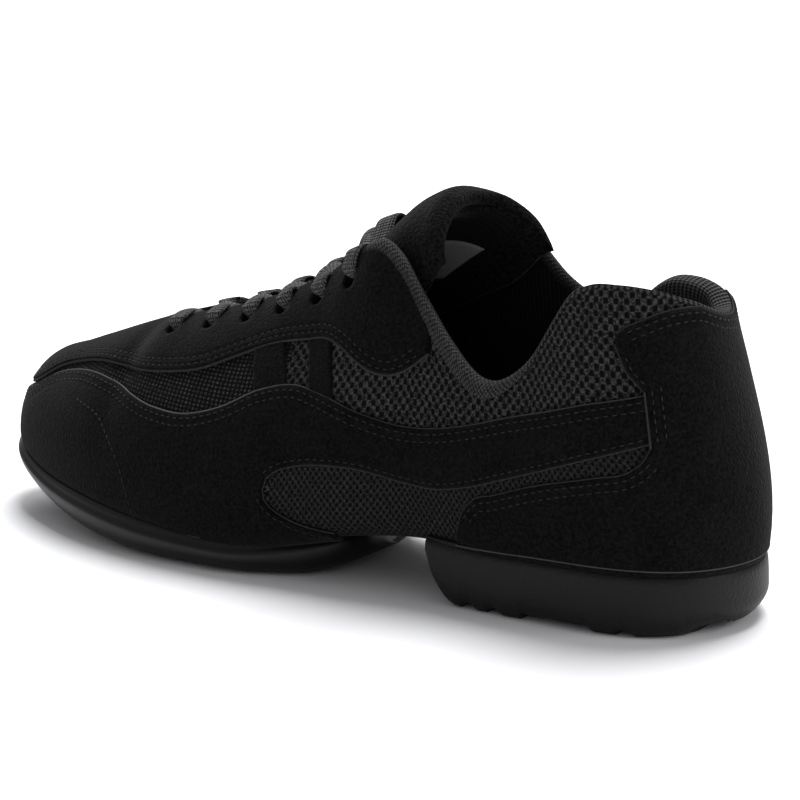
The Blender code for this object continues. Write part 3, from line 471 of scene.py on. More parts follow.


# %% [markdown]
# ## Creases
# Suede over mesh takes soft folds where the foot bends. Each one is listed: rib, height,
# length and width in millimetres, depth in millimetres (a ridge has a minus sign), and its slant.
# Every layer of the upper reads the same list, so panels, mesh and stitches move together.

# %% Creases
CREASES = (
    (4.55, 0.32, 22, 5.0, 0.22, 70), (5.00, 0.24, 22, 5.0, -0.18, 60),
    (5.75, 0.42, 24, 5.0, 0.20, 20), (6.60, 0.48, 22, 5.0, -0.18, 5),
    (7.60, 0.62, 16, 5.0, 0.22, 0), (8.55, 0.22, 18, 5.0, 0.22, 30),
    (9.10, 0.30, 22, 5.5, -0.18, 60), (9.90, 0.55, 20, 6.0, 0.22, 80),
    (-4.30, 0.45, 20, 4.5, 0.22, 75), (-5.20, 0.30, 24, 5.0, 0.22, 60),
    (-6.40, 0.45, 24, 5.0, 0.20, 10), (-8.60, 0.30, 20, 5.0, 0.22, 40),
    (-9.80, 0.50, 20, 5.5, -0.18, 75),
)


def folds(s, q):
    """Height in metres that the creases add at rib s and height q."""
    turned = np.mod(s + 11.0, TURN) - 11.0
    added = np.zeros(np.broadcast(s, q).shape)
    for rib_number, height, length, width, depth, slant in CREASES:
        a = radians(slant)
        across = (turned - rib_number) * 26.0
        upward = (q - height) * 62.0
        lengthwise = (across * cos(a) + upward * sin(a)) / length
        sideways = (upward * cos(a) - across * sin(a)) / width
        added = added - depth * 0.001 * np.exp(-(lengthwise**2 + sideways**2) * 2)
    return added


def skin(s, q, height):
    """Points at a height over the last, creases included, in the shoe's own frame."""
    s, q = np.broadcast_arrays(np.asarray(s, float), np.asarray(q, float))
    n = last_normal(s, q)
    closed = (np.minimum(np.mod(s, TURN), np.mod(-s, TURN)) <= THROAT_FRONT) & (q > 0.999)
    both = n + last_normal(-s, q)
    both = both / np.maximum(np.linalg.norm(both, axis=-1, keepdims=True), 1e-12)
    n = np.where(closed[..., None], both, n)
    fade = np.clip((1 - np.abs(q)) * 12, 0, 1)
    raised = np.asarray(height, float) + folds(s, q) * fade
    return last(s, q) + n * raised[..., None]


def q_at(s, z):
    """Height q at which each rib of s reaches world height z."""
    grid = np.linspace(-1, 1, 161)
    ribs, back = np.unique(np.round(s, 6), return_inverse=True)
    lines = last(ribs[:, None], grid[None, :])[..., 2]
    return np.array([np.interp(at, lines[i], grid) for i, at in zip(back, z)])


def q_below_top(s, depth):
    """Height q at a distance along each rib below the top line."""
    grid = np.linspace(0, 1, 161)
    depth = np.broadcast_to(depth, np.shape(s))
    points = last(np.asarray(s, float)[:, None], grid[None, :])
    runs = np.cumsum(np.linalg.norm(np.diff(points, axis=1), axis=2), axis=1)
    return np.array([np.interp(run[-1] - down, np.append(0, run), grid)
                     for run, down in zip(runs, depth)])


def border(rows):
    """A border table as a function from ribs to heights q."""
    return lambda s: q_at(s, table(rows, s) * COLLAR_HEIGHT)


# %% [markdown]
# ## From a flat grid to a piece
# Cloth starts flat. `quilt` makes a flat grid with the grid operator and moves its points to where
# an array says, and its UV map keeps the metres along and up the piece, so that a weave has its
# real size. A seam where the grid meets itself is merged.


# %% Quilt
def quilt(name, grids, material, weld=0.00002, extra=None):
    """A mesh piece from arrays of points (rows, columns, 3) in the shoe's own frame."""
    bm = bmesh.new()
    run_map = bm.loops.layers.uv.new("run")
    marks = bm.verts.layers.float.new(extra[0]) if extra else None
    for number, points in enumerate(grids):
        rows, columns = points.shape[:2]
        run = np.linalg.norm(np.diff(points, axis=1), axis=2).mean(0)
        rise = np.linalg.norm(np.diff(points, axis=0), axis=2)
        run = np.broadcast_to(np.append(0, np.cumsum(run)), (rows, columns))
        rise = np.vstack([np.zeros(columns), np.cumsum(rise, axis=0)])
        made = bmesh.ops.create_grid(bm, x_segments=columns - 1, y_segments=rows - 1, size=0.5)
        places = {}
        for vert in made["verts"]:
            i = round((vert.co.x + 0.5) * (columns - 1))
            j = round((vert.co.y + 0.5) * (rows - 1))
            places[vert] = (j, i)
            vert.co = Vector(points[j, i]) + SHIFT
            if marks:
                vert[marks] = extra[1][number][j, i]
        for face in {f for vert in made["verts"] for f in vert.link_faces}:
            for corner_loop in face.loops:
                j, i = places[corner_loop.vert]
                corner_loop[run_map].uv = (run[j, i], rise[j, i])
    bmesh.ops.remove_doubles(bm, verts=bm.verts, dist=weld)
    bmesh.ops.dissolve_degenerate(bm, edges=bm.edges, dist=0.000002)
    return finish_piece(name, bm, material)


def finish_piece(name, bm, material):
    """Turns a bmesh into an object that rides on the shoe."""
    mesh = bpy.data.meshes.new(name)
    bm.to_mesh(mesh)
    bm.free()
    mesh.shade_smooth()
    mesh.materials.append(material)
    piece = bpy.data.objects.new(name, mesh)
    bpy.context.scene.collection.objects.link(piece)
    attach(piece, "root")
    print(name, len(mesh.polygons), "faces")
    return piece


def face_out(piece, inside):
    """Turns the faces round where they look at a point inside the shoe."""
    bm = bmesh.new()
    bm.from_mesh(piece.data)
    centre = Vector(inside) + SHIFT
    looks = sum((f.calc_center_median() - centre).dot(f.normal) * f.calc_area() for f in bm.faces)
    if looks < 0:
        bmesh.ops.reverse_faces(bm, faces=bm.faces)
    bm.to_mesh(piece.data)
    bm.free()
    return piece


def even_faces(piece, close=True):
    """Points the faces of a closed form out, and first closes its open ends where asked."""
    bm = bmesh.new()
    bm.from_mesh(piece.data)
    if close:
        bmesh.ops.holes_fill(bm, edges=[e for e in bm.edges if e.is_boundary])
    bmesh.ops.recalc_face_normals(bm, faces=bm.faces)
    bm.to_mesh(piece.data)
    bm.free()
    return piece


MIDDLE = (0.45 * LENGTH, 0.0, 0.035)

# %% [markdown]
# ## Eyelets
# The eyelets are plain punched holes. The faces inside each hole are removed, the nearest points
# are drawn on to the circle, and the edge is pulled inward, which gives the hole its dark wall.

# %% Where the eyelets are
EYELET_RADIUS = 0.0025
EYELET_RIBS = np.array((3.68, 4.13, 4.61, 5.06, 5.50, 5.93))
EYELET_DEPTHS = np.array((0.0090, 0.0084, 0.0072, 0.0070, 0.0074, 0.0088))
EYELET_Q = {sign: q_below_top(sign * EYELET_RIBS, EYELET_DEPTHS) for sign in (1, -1)}
EYELETS = [(Vector(last(sign * s, q)) + SHIFT, Vector(last_normal(sign * s, q)))
           for sign in (1, -1) for s, q in zip(EYELET_RIBS, EYELET_Q[sign])]
print("eyelets:", len(EYELETS))


def punch(piece, depth):
    """Punches the eyelets through a sheet."""
    bm = bmesh.new()
    bm.from_mesh(piece.data)
    verts = list(bm.verts)
    places = np.array([v.co[:] for v in verts])
    for centre, axis in EYELETS:
        def off(point):
            away = point - centre
            return away - axis * away.dot(axis)

        reach = np.linalg.norm(places - np.array(centre), axis=1) < 4 * EYELET_RADIUS
        near = [v for v, close in zip(verts, reach) if close and v.is_valid
                and off(v.co).length < 1.9 * EYELET_RADIUS]
        faces = {f for v in near for f in v.link_faces}
        inside = [f for f in faces if off(f.calc_center_median()).length < EYELET_RADIUS]
        bmesh.ops.delete(bm, geom=inside, context="FACES")
        edges = {e for v in near if v.is_valid for e in v.link_edges if e.is_boundary}
        rim = [e for e in edges if max(off(v.co).length for v in e.verts) < 1.6 * EYELET_RADIUS]
        for vert in {v for e in rim for v in e.verts}:
            away = off(vert.co)
            vert.co += away.normalized() * (EYELET_RADIUS - away.length)
        if depth:
            walls = bmesh.ops.extrude_edge_only(bm, edges=rim)["geom"]
            moved = [g for g in walls if isinstance(g, bmesh.types.BMVert)]
            bmesh.ops.translate(bm, verts=moved, vec=axis * -depth)
    bm.to_mesh(piece.data)
    bm.free()


# %% [markdown]
# ## Mesh upper and lining
# The mesh is one shell from under the last to the top line. Its cells are 3.1 mm wide on the
# sides, smaller below the stripe, and short slits beside the vamp. The lining is the inside of the
# same wall, in ribbed knit.

# %% Mesh upper
around = np.concatenate([np.linspace(0, 11, 241), np.linspace(11, 22, 241)[1:]])
shell_q = np.concatenate([np.linspace(-1, 0, 9), np.linspace(0, 1, 45)[1:]])
S, Q = np.meshgrid(around, shell_q)
outer_points = skin(S, Q, 0.0)
margin = foot(around)
margin[:, :2] -= outward(around) * np.maximum(LASTING, corner(around) + WALL)[:, None]
margin[:, 2] = bed(margin[:, 0])
outer_points = np.concatenate([margin[None], outer_points])
near_ribs = np.minimum(around, TURN - around)
STRIPE_MIDDLE = ((5.3, 0.42), (6.3, 0.468), (7.2, 0.444), (8.1, 0.526), (9.5, 0.64), (11, 0.70))
below_stripe = outer_points[..., 2] < table(STRIPE_MIDDLE, around) * COLLAR_HEIGHT
fine_marks = np.where(near_ribs < 5.35, 1.0, np.where(below_stripe, -1.0, 0.0))
plate_ribs = np.linspace(ARCH_FRONT - 0.05, ARCH_REAR + 0.05, 60)
plate_sides = []
for sign in (1, -1):
    at = foot(sign * plate_ribs)
    inward = np.maximum(LASTING, corner(sign * plate_ribs) + WALL)[:, None]
    at[:, :2] -= outward(sign * plate_ribs) * inward
    plate_sides.append(at)
shares = np.linspace(0, 1, 16)[:, None, None]
plate = plate_sides[0] * (1 - shares) + plate_sides[1] * shares
plate[..., 2] = bed(plate[..., 0])
upper = quilt("upper_mesh", [outer_points, plate], mesh_cloth,
              extra=("fine", [fine_marks, np.full(plate.shape[:2], -1.0)]))
face_out(upper, MIDDLE)
punch(upper, 0)
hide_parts("upper")

# %% Lining
lining_q = np.linspace(-0.6, 1, 40)
S, Q = np.meshgrid(around, lining_q)
lining = quilt("lining", [skin(S, Q, -WALL)], knit_lining)
punch(lining, 0)


# %% [markdown]
# ## Suede panels
# Each panel is cut between its borders. Its edge rolls down to the mesh over about a millimetre,
# and a shallow groove runs under every row of stitches, so the height at a point depends on how
# far it is from the nearest cut edge.


# %% Panel heights
STITCH_ROWS = (0.0016, 0.0038)
GROOVE_DEPTH = 0.00028
GROOVE_WIDTH = 0.00045
EDGE_ROLL = 0.0009
EDGE_SINK = 0.0002
PUFF = 0.0003


class Outline:
    """Points along a panel's cut edges, with the distance to them."""

    def __init__(self, runs, rows=STITCH_ROWS):
        self.runs = runs
        self.rows = rows
        points = np.concatenate([skin(s, q, 0.0) for s, q in runs])
        self.tree = KDTree(len(points))
        for i, point in enumerate(points):
            self.tree.insert(point, i)
        self.tree.balance()

    def distance(self, points):
        flat = points.reshape(-1, 3)
        return np.array([self.tree.find(p)[2] for p in flat]).reshape(points.shape[:-1])

    def height(self, s, q, thickness=OVERLAY):
        """Thickness inside the panel, rolled down at the edge and dented under the stitches."""
        d = self.distance(skin(s, q, 0.0))
        rolled = np.sqrt(1 - (1 - np.clip(d / EDGE_ROLL, 0, 1))**2)
        groove = sum(np.exp(-((d - row) / GROOVE_WIDTH)**2) for row in self.rows)
        puff = PUFF * np.clip((d - 0.004) / 0.01, 0, 1)
        return -EDGE_SINK + (thickness + EDGE_SINK) * rolled - GROOVE_DEPTH * groove + puff


def eased(count):
    """Shares from 0 to 1, closer together at both ends."""
    return (1 - np.cos(np.linspace(0, pi, count))) / 2


def band(stations, low, high, count, outline, thickness=OVERLAY):
    """Grid over the last between two borders, each a function from ribs to heights."""
    share = eased(count)[:, None]
    q = low(stations) * (1 - share) + high(stations) * share
    s = np.broadcast_to(stations, q.shape)
    return skin(s, q, outline.height(s, q, thickness))


def ribs(start, end, step=0.035):
    return np.linspace(start, end, max(int(abs(end - start) / step), 3) + 1)


def line(rows_or_border, start, end, step=0.01):
    """Ribs and heights along a border, close together."""
    s = ribs(start, end, step)
    rule = rows_or_border if callable(rows_or_border) else border(rows_or_border)
    return s, rule(s)


def upright(s, low, high):
    """A straight edge along one rib, between two heights q."""
    return np.full(30, s), np.linspace(low, high, 30)


def post(s, low, high):
    """A short upright edge at one rib, between two heights in shares of the collar's height."""
    q = np.linspace(q_at([s], [low * COLLAR_HEIGHT])[0], q_at([s], [high * COLLAR_HEIGHT])[0], 40)
    return np.full(40, float(s)), q


# %% Borders
# Rib and height, as a share of the collar's height, along each cut edge
GUARD_TOP = (
    (0, 0.375), (0.8, 0.385), (1.3, 0.415), (1.7, 0.462), (2.2, 0.498), (2.8, 0.516),
    (3.3, 0.502), (3.9, 0.470), (4.3, 0.470), (4.7, 0.508), (5.1, 0.572), (5.5, 0.602),
    (5.8, 0.590), (6.3, 0.552), (6.8, 0.528), (7.2, 0.532), (7.6, 0.560), (8.1, 0.612),
    (8.6, 0.658), (COUNTER_FRONT, 0.708),
)
STRIPE_LOW = (
    (5.3, 0.285), (5.31, 0.303), (5.36, 0.328), (5.45, 0.349), (5.6, 0.366), (6, 0.384),
    (6.3, 0.384), (6.9, 0.360), (7.2, 0.355), (7.6, 0.382), (8.1, 0.440), (8.6, 0.500),
    (9.0, 0.538), (COUNTER_FRONT, 0.574),
)
MEDALLION_LOW = (
    (5.3, 0.285), (5.31, 0.267), (5.35, 0.246), (5.42, 0.228), (5.55, 0.208), (5.8, 0.185),
    (MEDALLION_END, 0.174),
)
VAMP_LOW = (
    (0, 0.395), (0.8, 0.405), (1.3, 0.440), (1.7, 0.488), (2.2, 0.524), (2.8, 0.552),
    (3.3, 0.555), (3.9, 0.574), (4.3, 0.600), (4.7, 0.652), (5.1, 0.704), (5.5, 0.734),
    (5.8, 0.748), (6.0, 0.730), (6.2, 0.700), (6.45, 0.674), (6.65, 0.674), (6.88, 0.700),
    (VAMP_END, 0.745),
)
COUNTER_WING = (
    (WING_FRONT, 0.222), (7.5, 0.290), (7.62, 0.340), (7.85, 0.370), (8.3, 0.424), (8.8, 0.464),
    (9.2, 0.494), (9.38, 0.530), (COUNTER_FRONT, 0.566),
)
COUNTER_LOBE_LOW = ((LOBE_FRONT, 0.840), (9.25, 0.778), (9.38, 0.736), (COUNTER_FRONT, 0.712))
COUNTER_TOP = (
    (LOBE_FRONT, 0.872), (9.28, 0.893), (9.47, 0.912), (9.7, 0.932), (10.1, 0.945), (10.5, 0.94),
    (11, 0.91),
)
OVERLAY_EDGE = (
    (0, -0.66), (4.8, -0.66), (5.4, -0.76), (6.05, -0.92), (6.5, -0.92), (7.4, -0.66),
    (8, -0.60), (11, -0.60),
)
# Collar tape: its depth outside and inside in metres, its fatness, and its padding by rib
TAPE_DEPTHS = (
    (6.0, 0.0032), (6.4, 0.0042), (6.9, 0.0050), (7.4, 0.0048), (7.8, 0.0036), (8.15, 0.0018),
    (8.5, 0.0011), (11, 0.0011),
)
TAPE_INSIDE = ((6.0, 0.0035), (8.0, 0.0035), (8.8, 0.009), (9.6, 0.012), (11, 0.012))
TAPE_FAT = ((6.0, 1.0), (7.7, 1.0), (8.4, 0.35), (11, 0.30))
TAPE_PAD = ((6.0, 0.0), (8.2, 0.0), (9.2, 1.0), (11, 1.0))
guard_top = border(GUARD_TOP)
stripe_low = border(STRIPE_LOW)
medallion_low = border(MEDALLION_LOW)
vamp_low = border(VAMP_LOW)
wing = border(COUNTER_WING)
lobe_low = border(COUNTER_LOBE_LOW)


def sole_edge(s):
    return table(OVERLAY_EDGE, s)


# %% Side guard
guard_runs = [line(guard_top, -COUNTER_FRONT, COUNTER_FRONT, 0.006)]
for sign in (1, -1):
    end = sign * MEDALLION_END
    guard_runs.append(line(stripe_low, sign * ARCH_FRONT, sign * COUNTER_FRONT, 0.006))
    guard_runs.append(line(medallion_low, sign * ARCH_FRONT, end, 0.004))
    guard_runs.append(upright(end, -0.9, medallion_low([end])[0]))
guard_outline = Outline(guard_runs)
FORK_Q = stripe_low(np.array([ARCH_FRONT, -ARCH_FRONT]))


def fork_line(s):
    """The height at which the guard divides, carried forward to the toe."""
    at_fork = np.where(s >= 0, FORK_Q[0], FORK_Q[1])
    low_fork = sole_edge(np.array([ARCH_FRONT]))[0]
    top_fork = np.where(s >= 0, guard_top([ARCH_FRONT])[0], guard_top([-ARCH_FRONT])[0])
    share = (at_fork - low_fork) / (top_fork - low_fork)
    return sole_edge(s) + share * (guard_top(s) - sole_edge(s))


toe_ribs = ribs(-ARCH_FRONT, ARCH_FRONT)
guard_grids = [band(toe_ribs, sole_edge, fork_line, 22, guard_outline),
               band(toe_ribs, fork_line, guard_top, 22, guard_outline)]
for sign in (1, -1):
    tip = ribs(sign * ARCH_FRONT, sign * MEDALLION_ROUND, 0.008)
    low_ribs = np.append(tip, ribs(sign * MEDALLION_ROUND, sign * MEDALLION_END, 0.03)[1:])
    guard_grids.append(band(low_ribs, sole_edge, medallion_low, 16, guard_outline))
    high_ribs = np.append(tip, ribs(sign * MEDALLION_ROUND, sign * 9.50, 0.03)[1:])
    guard_grids.append(band(high_ribs, stripe_low, guard_top, 22, guard_outline))
guard = quilt("side_guard_suede", guard_grids, suede)
face_out(guard, MIDDLE)
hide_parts("side_guard")


# %% Vamp and eyestay
def tape_line(s):
    """The eyestay ends at the throat, and behind it under the collar tape."""
    depth = np.where(np.abs(s) < TAPE_START, 0.0, table(TAPE_DEPTHS, s) - 0.0010)
    open_ribs = np.abs(s) > THROAT_FRONT
    return np.where(open_ribs, q_below_top(s, depth), 1.0)


vamp_runs = [line(vamp_low, -VAMP_END, VAMP_END, 0.006)]
for sign in (1, -1):
    end = sign * VAMP_END
    vamp_runs.append(upright(end, vamp_low([end])[0], tape_line(np.array([end]))[0]))
vamp_outline = Outline(vamp_runs)
vamp_ribs = np.concatenate([
    ribs(-VAMP_END, -THROAT_FRONT, 0.03), ribs(-THROAT_FRONT, THROAT_FRONT)[1:],
    ribs(THROAT_FRONT, VAMP_END, 0.03)[1:]])
vamp_grid = band(vamp_ribs, vamp_low, tape_line, 44, vamp_outline)
rolled_rows = []
for height, inset in ((0.0012, 0.0004), (0.0005, 0.0007), (-0.0010, 0.0008), (-0.0022, 0.0003)):
    edge = skin(vamp_ribs, tape_line(vamp_ribs), height)
    below = skin(vamp_ribs, tape_line(vamp_ribs) - 0.03, height)
    upward = edge - below
    upward = upward / np.linalg.norm(upward, axis=1, keepdims=True)
    opened = np.clip((np.abs(vamp_ribs) - THROAT_FRONT) / 0.1, 0, 1)[:, None]
    rolled_rows.append(edge + upward * inset * opened)
vamp_grid = np.concatenate([vamp_grid, np.array(rolled_rows)])
eyestay = quilt("vamp_eyestay_suede", [vamp_grid], suede)
face_out(eyestay, MIDDLE)
punch(eyestay, 0.0030)
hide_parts("vamp_eyestay")


# %% Heel counter
def counter_top(s):
    depth = table(TAPE_DEPTHS, s) - 0.0006
    return np.minimum(q_at(s, table(COUNTER_TOP, s) * COLLAR_HEIGHT), q_below_top(s, depth))


def at_height(share):
    return lambda s: q_at(s, np.full(np.shape(s), share * COLLAR_HEIGHT))


# The stretch of the counter's front edge that crosses the stripe
POST_LOW = 0.566
POST_HIGH = 0.712
counter_runs = [line(counter_top, LOBE_FRONT, TURN - LOBE_FRONT, 0.006)]
for sign in (1, -1):
    tip = sign * WING_FRONT
    counter_runs.append(line(wing, tip, sign * COUNTER_FRONT, 0.006))
    counter_runs.append(line(lobe_low, sign * LOBE_FRONT, sign * COUNTER_FRONT, 0.004))
    counter_runs.append(post(sign * COUNTER_FRONT, POST_LOW, POST_HIGH))
    counter_runs.append(post(sign * LOBE_FRONT, 0.840, 0.872))
    counter_runs.append(upright(tip, sole_edge(np.array([WING_FRONT]))[0], wing([tip])[0]))
counter_outline = Outline(counter_runs)
back_ribs = ribs(COUNTER_FRONT, TURN - COUNTER_FRONT)
counter_grids = [
    band(back_ribs, sole_edge, at_height(POST_LOW), 26, counter_outline),
    band(back_ribs, at_height(POST_LOW), at_height(POST_HIGH), 12, counter_outline),
    band(back_ribs, at_height(POST_HIGH), counter_top, 16, counter_outline)]
for sign in (1, -1):
    wing_ribs = np.append(ribs(sign * WING_FRONT, sign * 7.62, 0.01),
                          ribs(sign * 7.62, sign * COUNTER_FRONT)[1:])
    lobe_ribs = ribs(sign * LOBE_FRONT, sign * COUNTER_FRONT, 0.012)
    counter_grids.append(band(wing_ribs, sole_edge, wing, 26, counter_outline))
    counter_grids.append(band(lobe_ribs, lobe_low, counter_top, 16, counter_outline))
counter = quilt("heel_counter_suede", counter_grids, suede)
face_out(counter, MIDDLE)
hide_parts("heel_counter")

# %% Instep straps
# Place, rib at the foot, rib at the head, width in ribs
STRAPS = (("front", 5.05, 4.87, 0.36), ("rear", 5.67, 5.51, 0.31))
STRAP_HIDDEN = 0.012
STRAP_HEIGHT = 0.0011
RIB_METRES = 0.029
for side_name, sign in (("lateral", 1), ("medial", -1)):
    for place, foot_rib, head_rib, width in STRAPS:
        share = np.linspace(0, 1, 24)[:, None]
        across = eased(22)[None, :]
        s = foot_rib + (head_rib - foot_rib) * share + width * across
        low = table(GUARD_TOP, s) - STRAP_HIDDEN
        high = table(VAMP_LOW, s) + STRAP_HIDDEN
        z = (low + (high - low) * share) * COLLAR_HEIGHT
        q = q_at(sign * s.ravel(), z.ravel()).reshape(s.shape)
        from_edge = np.minimum(across, 1 - across) * width * RIB_METRES
        rolled = np.sqrt(1 - (1 - np.clip(from_edge / 0.0008, 0, 1))**2)
        height = -EDGE_SINK + STRAP_HEIGHT * np.broadcast_to(rolled, s.shape)
        strap = quilt(f"instep_strap_{side_name}_{place}_suede", [skin(sign * s, q, height)],
                      suede)
        face_out(strap, MIDDLE)
        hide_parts(f"instep_strap_{side_name}_{place}")

# %% [markdown]
# ## Stitches and cut edges
# Two rows of stitches follow nearly every cut edge. Each stitch is a small bead of thread, set at
# a constant distance from the edge: a step across the edge in metres is turned into a step of rib
# and height, twice, because the last is curved. A thin line along each raw edge of the suede is
# painted paler, as a painted highlight where the light catches the edge.


# %% Follow an edge
def beside_edge(s, q, distance, towards):
    """Ribs and heights of a line that keeps a distance from an edge. towards is +1 up, -1 down."""
    s, q = s.copy(), q.copy()
    tangent = np.gradient(skin(s, q, 0.0), axis=0)
    tangent = tangent / np.linalg.norm(tangent, axis=1, keepdims=True)
    inward = np.cross(last_normal(s, q), tangent)
    upward = last(s, np.minimum(q + 0.01, 1)) - last(s, np.minimum(q + 0.01, 1) - 0.01)
    flip = np.sign((inward * upward).sum(1, keepdims=True)) * towards
    inward = inward * flip
    for step in (distance / 2, distance / 2):
        d_s = (last(s + 0.01, q) - last(s - 0.01, q)) / 0.02
        d_q = (last(s, np.minimum(q + 0.01, 1)) - last(s, np.minimum(q + 0.01, 1) - 0.02)) / 0.02
        a, b, c = (d_s * d_s).sum(1), (d_s * d_q).sum(1), (d_q * d_q).sum(1)
        e, f = (d_s * inward).sum(1) * step, (d_q * inward).sum(1) * step
        det = a * c - b * b
        s = s + (e * c - f * b) / det
        q = np.clip(q + (f * a - e * b) / det, -1, 1)
    return s, q


def evenly(points, pitch):
    """Places and directions every pitch metres along a line of points."""
    runs = np.append(0, np.cumsum(np.linalg.norm(np.diff(points, axis=0), axis=1)))
    at = np.arange(pitch / 2, runs[-1], pitch)
    places = np.stack([np.interp(at, runs, points[:, k]) for k in range(3)], 1)
    ahead = np.stack([np.interp(at + pitch / 4, runs, points[:, k]) for k in range(3)], 1)
    behind = np.stack([np.interp(at - pitch / 4, runs, points[:, k]) for k in range(3)], 1)
    return places, ahead - behind, at / runs[-1]


STITCH_PITCH = 0.0025
STITCH_SIZE = (0.00092, 0.00027, 0.00024)
THREAD_LIFT = 0.00014
stitch_lines = []


def sew(edge, outline, towards, rows=STITCH_ROWS):
    """Keeps rows of stitches beside an edge for the thread piece."""
    for distance in rows:
        s, q = beside_edge(*edge, distance, towards)
        stitch_lines.append((s, q, outline.height(s, q) + THREAD_LIFT))


sew(line(guard_top, -9.4, 9.4, 0.02), guard_outline, -1)
sew(line(vamp_low, -7.05, 7.05, 0.02), vamp_outline, 1)
sew(line(counter_top, 9.25, TURN - 9.25, 0.02), counter_outline, -1)
for sign in (1, -1):
    sew(line(stripe_low, sign * 5.33, sign * 9.4, 0.01), guard_outline, 1, STITCH_ROWS[:1])
    sew(line(medallion_low, sign * 5.31, sign * 6.0, 0.01), guard_outline, -1, STITCH_ROWS[:1])
    sew(line(wing, sign * 7.5, sign * 9.40, 0.02), counter_outline, -1)
    sew(line(lobe_low, sign * 9.20, sign * 9.44, 0.01), counter_outline, 1, STITCH_ROWS[:1])
    for behind in (0.08, 0.19):
        s, q = post(sign * (COUNTER_FRONT + behind), POST_LOW + behind * 0.1,
                    POST_HIGH + behind * 0.2)
        stitch_lines.append((s, q, counter_outline.height(s, q) + THREAD_LIFT))
# Toe cap seam: rib and height in millimetres, the same on both sides
TOE_SEAM = (
    (2.67, 41), (3.07, 39), (3.31, 35), (3.53, 29), (3.65, 24), (3.75, 17), (3.79, 13), (3.80, 11),
)
for sign in (1, -1):
    share = np.linspace(0, 1, 60)
    knots = np.linspace(0, 1, len(TOE_SEAM))
    s = sign * curve(knots, [r[0] for r in TOE_SEAM], share)
    q = q_at(s, curve(knots, [r[1] for r in TOE_SEAM], share) * 0.001)
    stitch_lines.append((s, q, guard_outline.height(s, q) + 0.00005))

# %% Thread
bm = bmesh.new()
for s, q, height in stitch_lines:
    level = skin(s, q, height)
    places, ways, shares = evenly(level, STITCH_PITCH)
    runs = np.linspace(0, 1, len(s))
    ups = last_normal(np.interp(shares, runs, s), np.interp(shares, runs, q))
    for place, way, up_way in zip(places, ways, ups):
        x_axis = Vector(way).normalized()
        z_axis = (Vector(up_way) - x_axis * x_axis.dot(Vector(up_way))).normalized()
        turn = Matrix((x_axis, z_axis.cross(x_axis), z_axis)).transposed().to_4x4()
        shape = Matrix.Diagonal((*STITCH_SIZE, 1))
        where = Matrix.Translation(Vector(place) + SHIFT) @ turn @ shape
        bmesh.ops.create_icosphere(bm, subdivisions=1, radius=1.0, matrix=where)
finish_piece("stitches", bm, thread)


# %% Tubes along a line
def tube(points, ups, half_width, half_height, sides=10, closed=False):
    """Array of rings round a line of points, flat or round, for quilt."""
    tangent = np.gradient(points, axis=0)
    tangent = tangent / np.linalg.norm(tangent, axis=1, keepdims=True)
    ups = ups - tangent * (ups * tangent).sum(1, keepdims=True)
    ups = ups / np.linalg.norm(ups, axis=1, keepdims=True)
    across = np.cross(ups, tangent)
    angles = np.linspace(0, 2 * pi, sides + 1)
    rings = []
    for a in angles:
        flat = np.sign(cos(a)) * abs(cos(a))**0.6 * half_width
        tall = np.sign(sin(a)) * abs(sin(a))**0.6 * half_height
        rings.append(points + across * np.reshape(flat, (-1, 1)) + ups * np.reshape(tall, (-1, 1)))
    return np.array(rings)


# %% Cut edges
EDGE_RADIUS = 0.00022
VAMP_EDGE_RADIUS = 0.00040
POST_RADIUS = 0.0003
SOLE_LINE_RADIUS = 0.0002
edge_lines = [line(guard_top, -9.44, 9.44, 0.03), line(vamp_low, -VAMP_END, VAMP_END, 0.03),
              line(counter_top, 9.2, TURN - 9.2, 0.03)]
for sign in (1, -1):
    edge_lines.append(line(stripe_low, sign * 5.3, sign * 9.45, 0.03))
    edge_lines.append(line(medallion_low, sign * 5.3, sign * MEDALLION_END, 0.02))
    edge_lines.append(line(wing, sign * WING_FRONT, sign * COUNTER_FRONT, 0.02))
    edge_lines.append(line(lobe_low, sign * LOBE_FRONT, sign * COUNTER_FRONT, 0.01))
edge_radii = [EDGE_RADIUS, VAMP_EDGE_RADIUS] + [EDGE_RADIUS] * (len(edge_lines) - 2)
edge_grids = [tube(skin(s, q, 0.0007), last_normal(s, q), radius, radius, 6)
              for (s, q), radius in zip(edge_lines, edge_radii)]
for sign in (1, -1):
    s, q = post(sign * (COUNTER_FRONT - 0.01), 0.560, 0.716)
    edge_grids.append(
        tube(skin(s, q, OVERLAY), last_normal(s, q), POST_RADIUS, POST_RADIUS, 6))
# The thin line where suede meets rubber, painted pale as a highlight: rib and height q
SOLE_LINE = (
    (0, -0.46), (4.6, -0.46), (WING_FRONT, -0.28), (8.0, -0.19), (8.8, -0.15), (11, -0.13),
)
for start, end in ((-4.6, 4.6), (WING_FRONT, TURN - WING_FRONT)):
    s = ribs(start, end, 0.04)
    q = table(SOLE_LINE, s)
    edge_grids.append(tube(skin(s, q, OVERLAY + PUFF), last_normal(s, q),
                           SOLE_LINE_RADIUS, SOLE_LINE_RADIUS, 6))
# How strong the painted highlight is along the guard's edge: rib and share
EDGE_HIGHLIGHT = ((0, 0.1), (0.8, 0.4), (1.6, 1.0), (4.9, 0.9), (5.6, 0.35), (8.2, 0.25), (9.5, 0.2))
highlight_marks = [np.broadcast_to(table(EDGE_HIGHLIGHT, edge_lines[0][0]), edge_grids[0].shape[:2])]
# The other panel edges get a faint painted highlight, and the two lines at the sole a stronger one.
highlight_marks += [np.full(grid.shape[:2], 0.08) for grid in edge_grids[1:-2]]
highlight_marks += [np.full(edge_grids[-2].shape[:2], 0.25), np.full(edge_grids[-1].shape[:2], 0.35)]
edges = quilt("cut_edges", edge_grids, cut_edge, extra=("painted_highlight", highlight_marks))
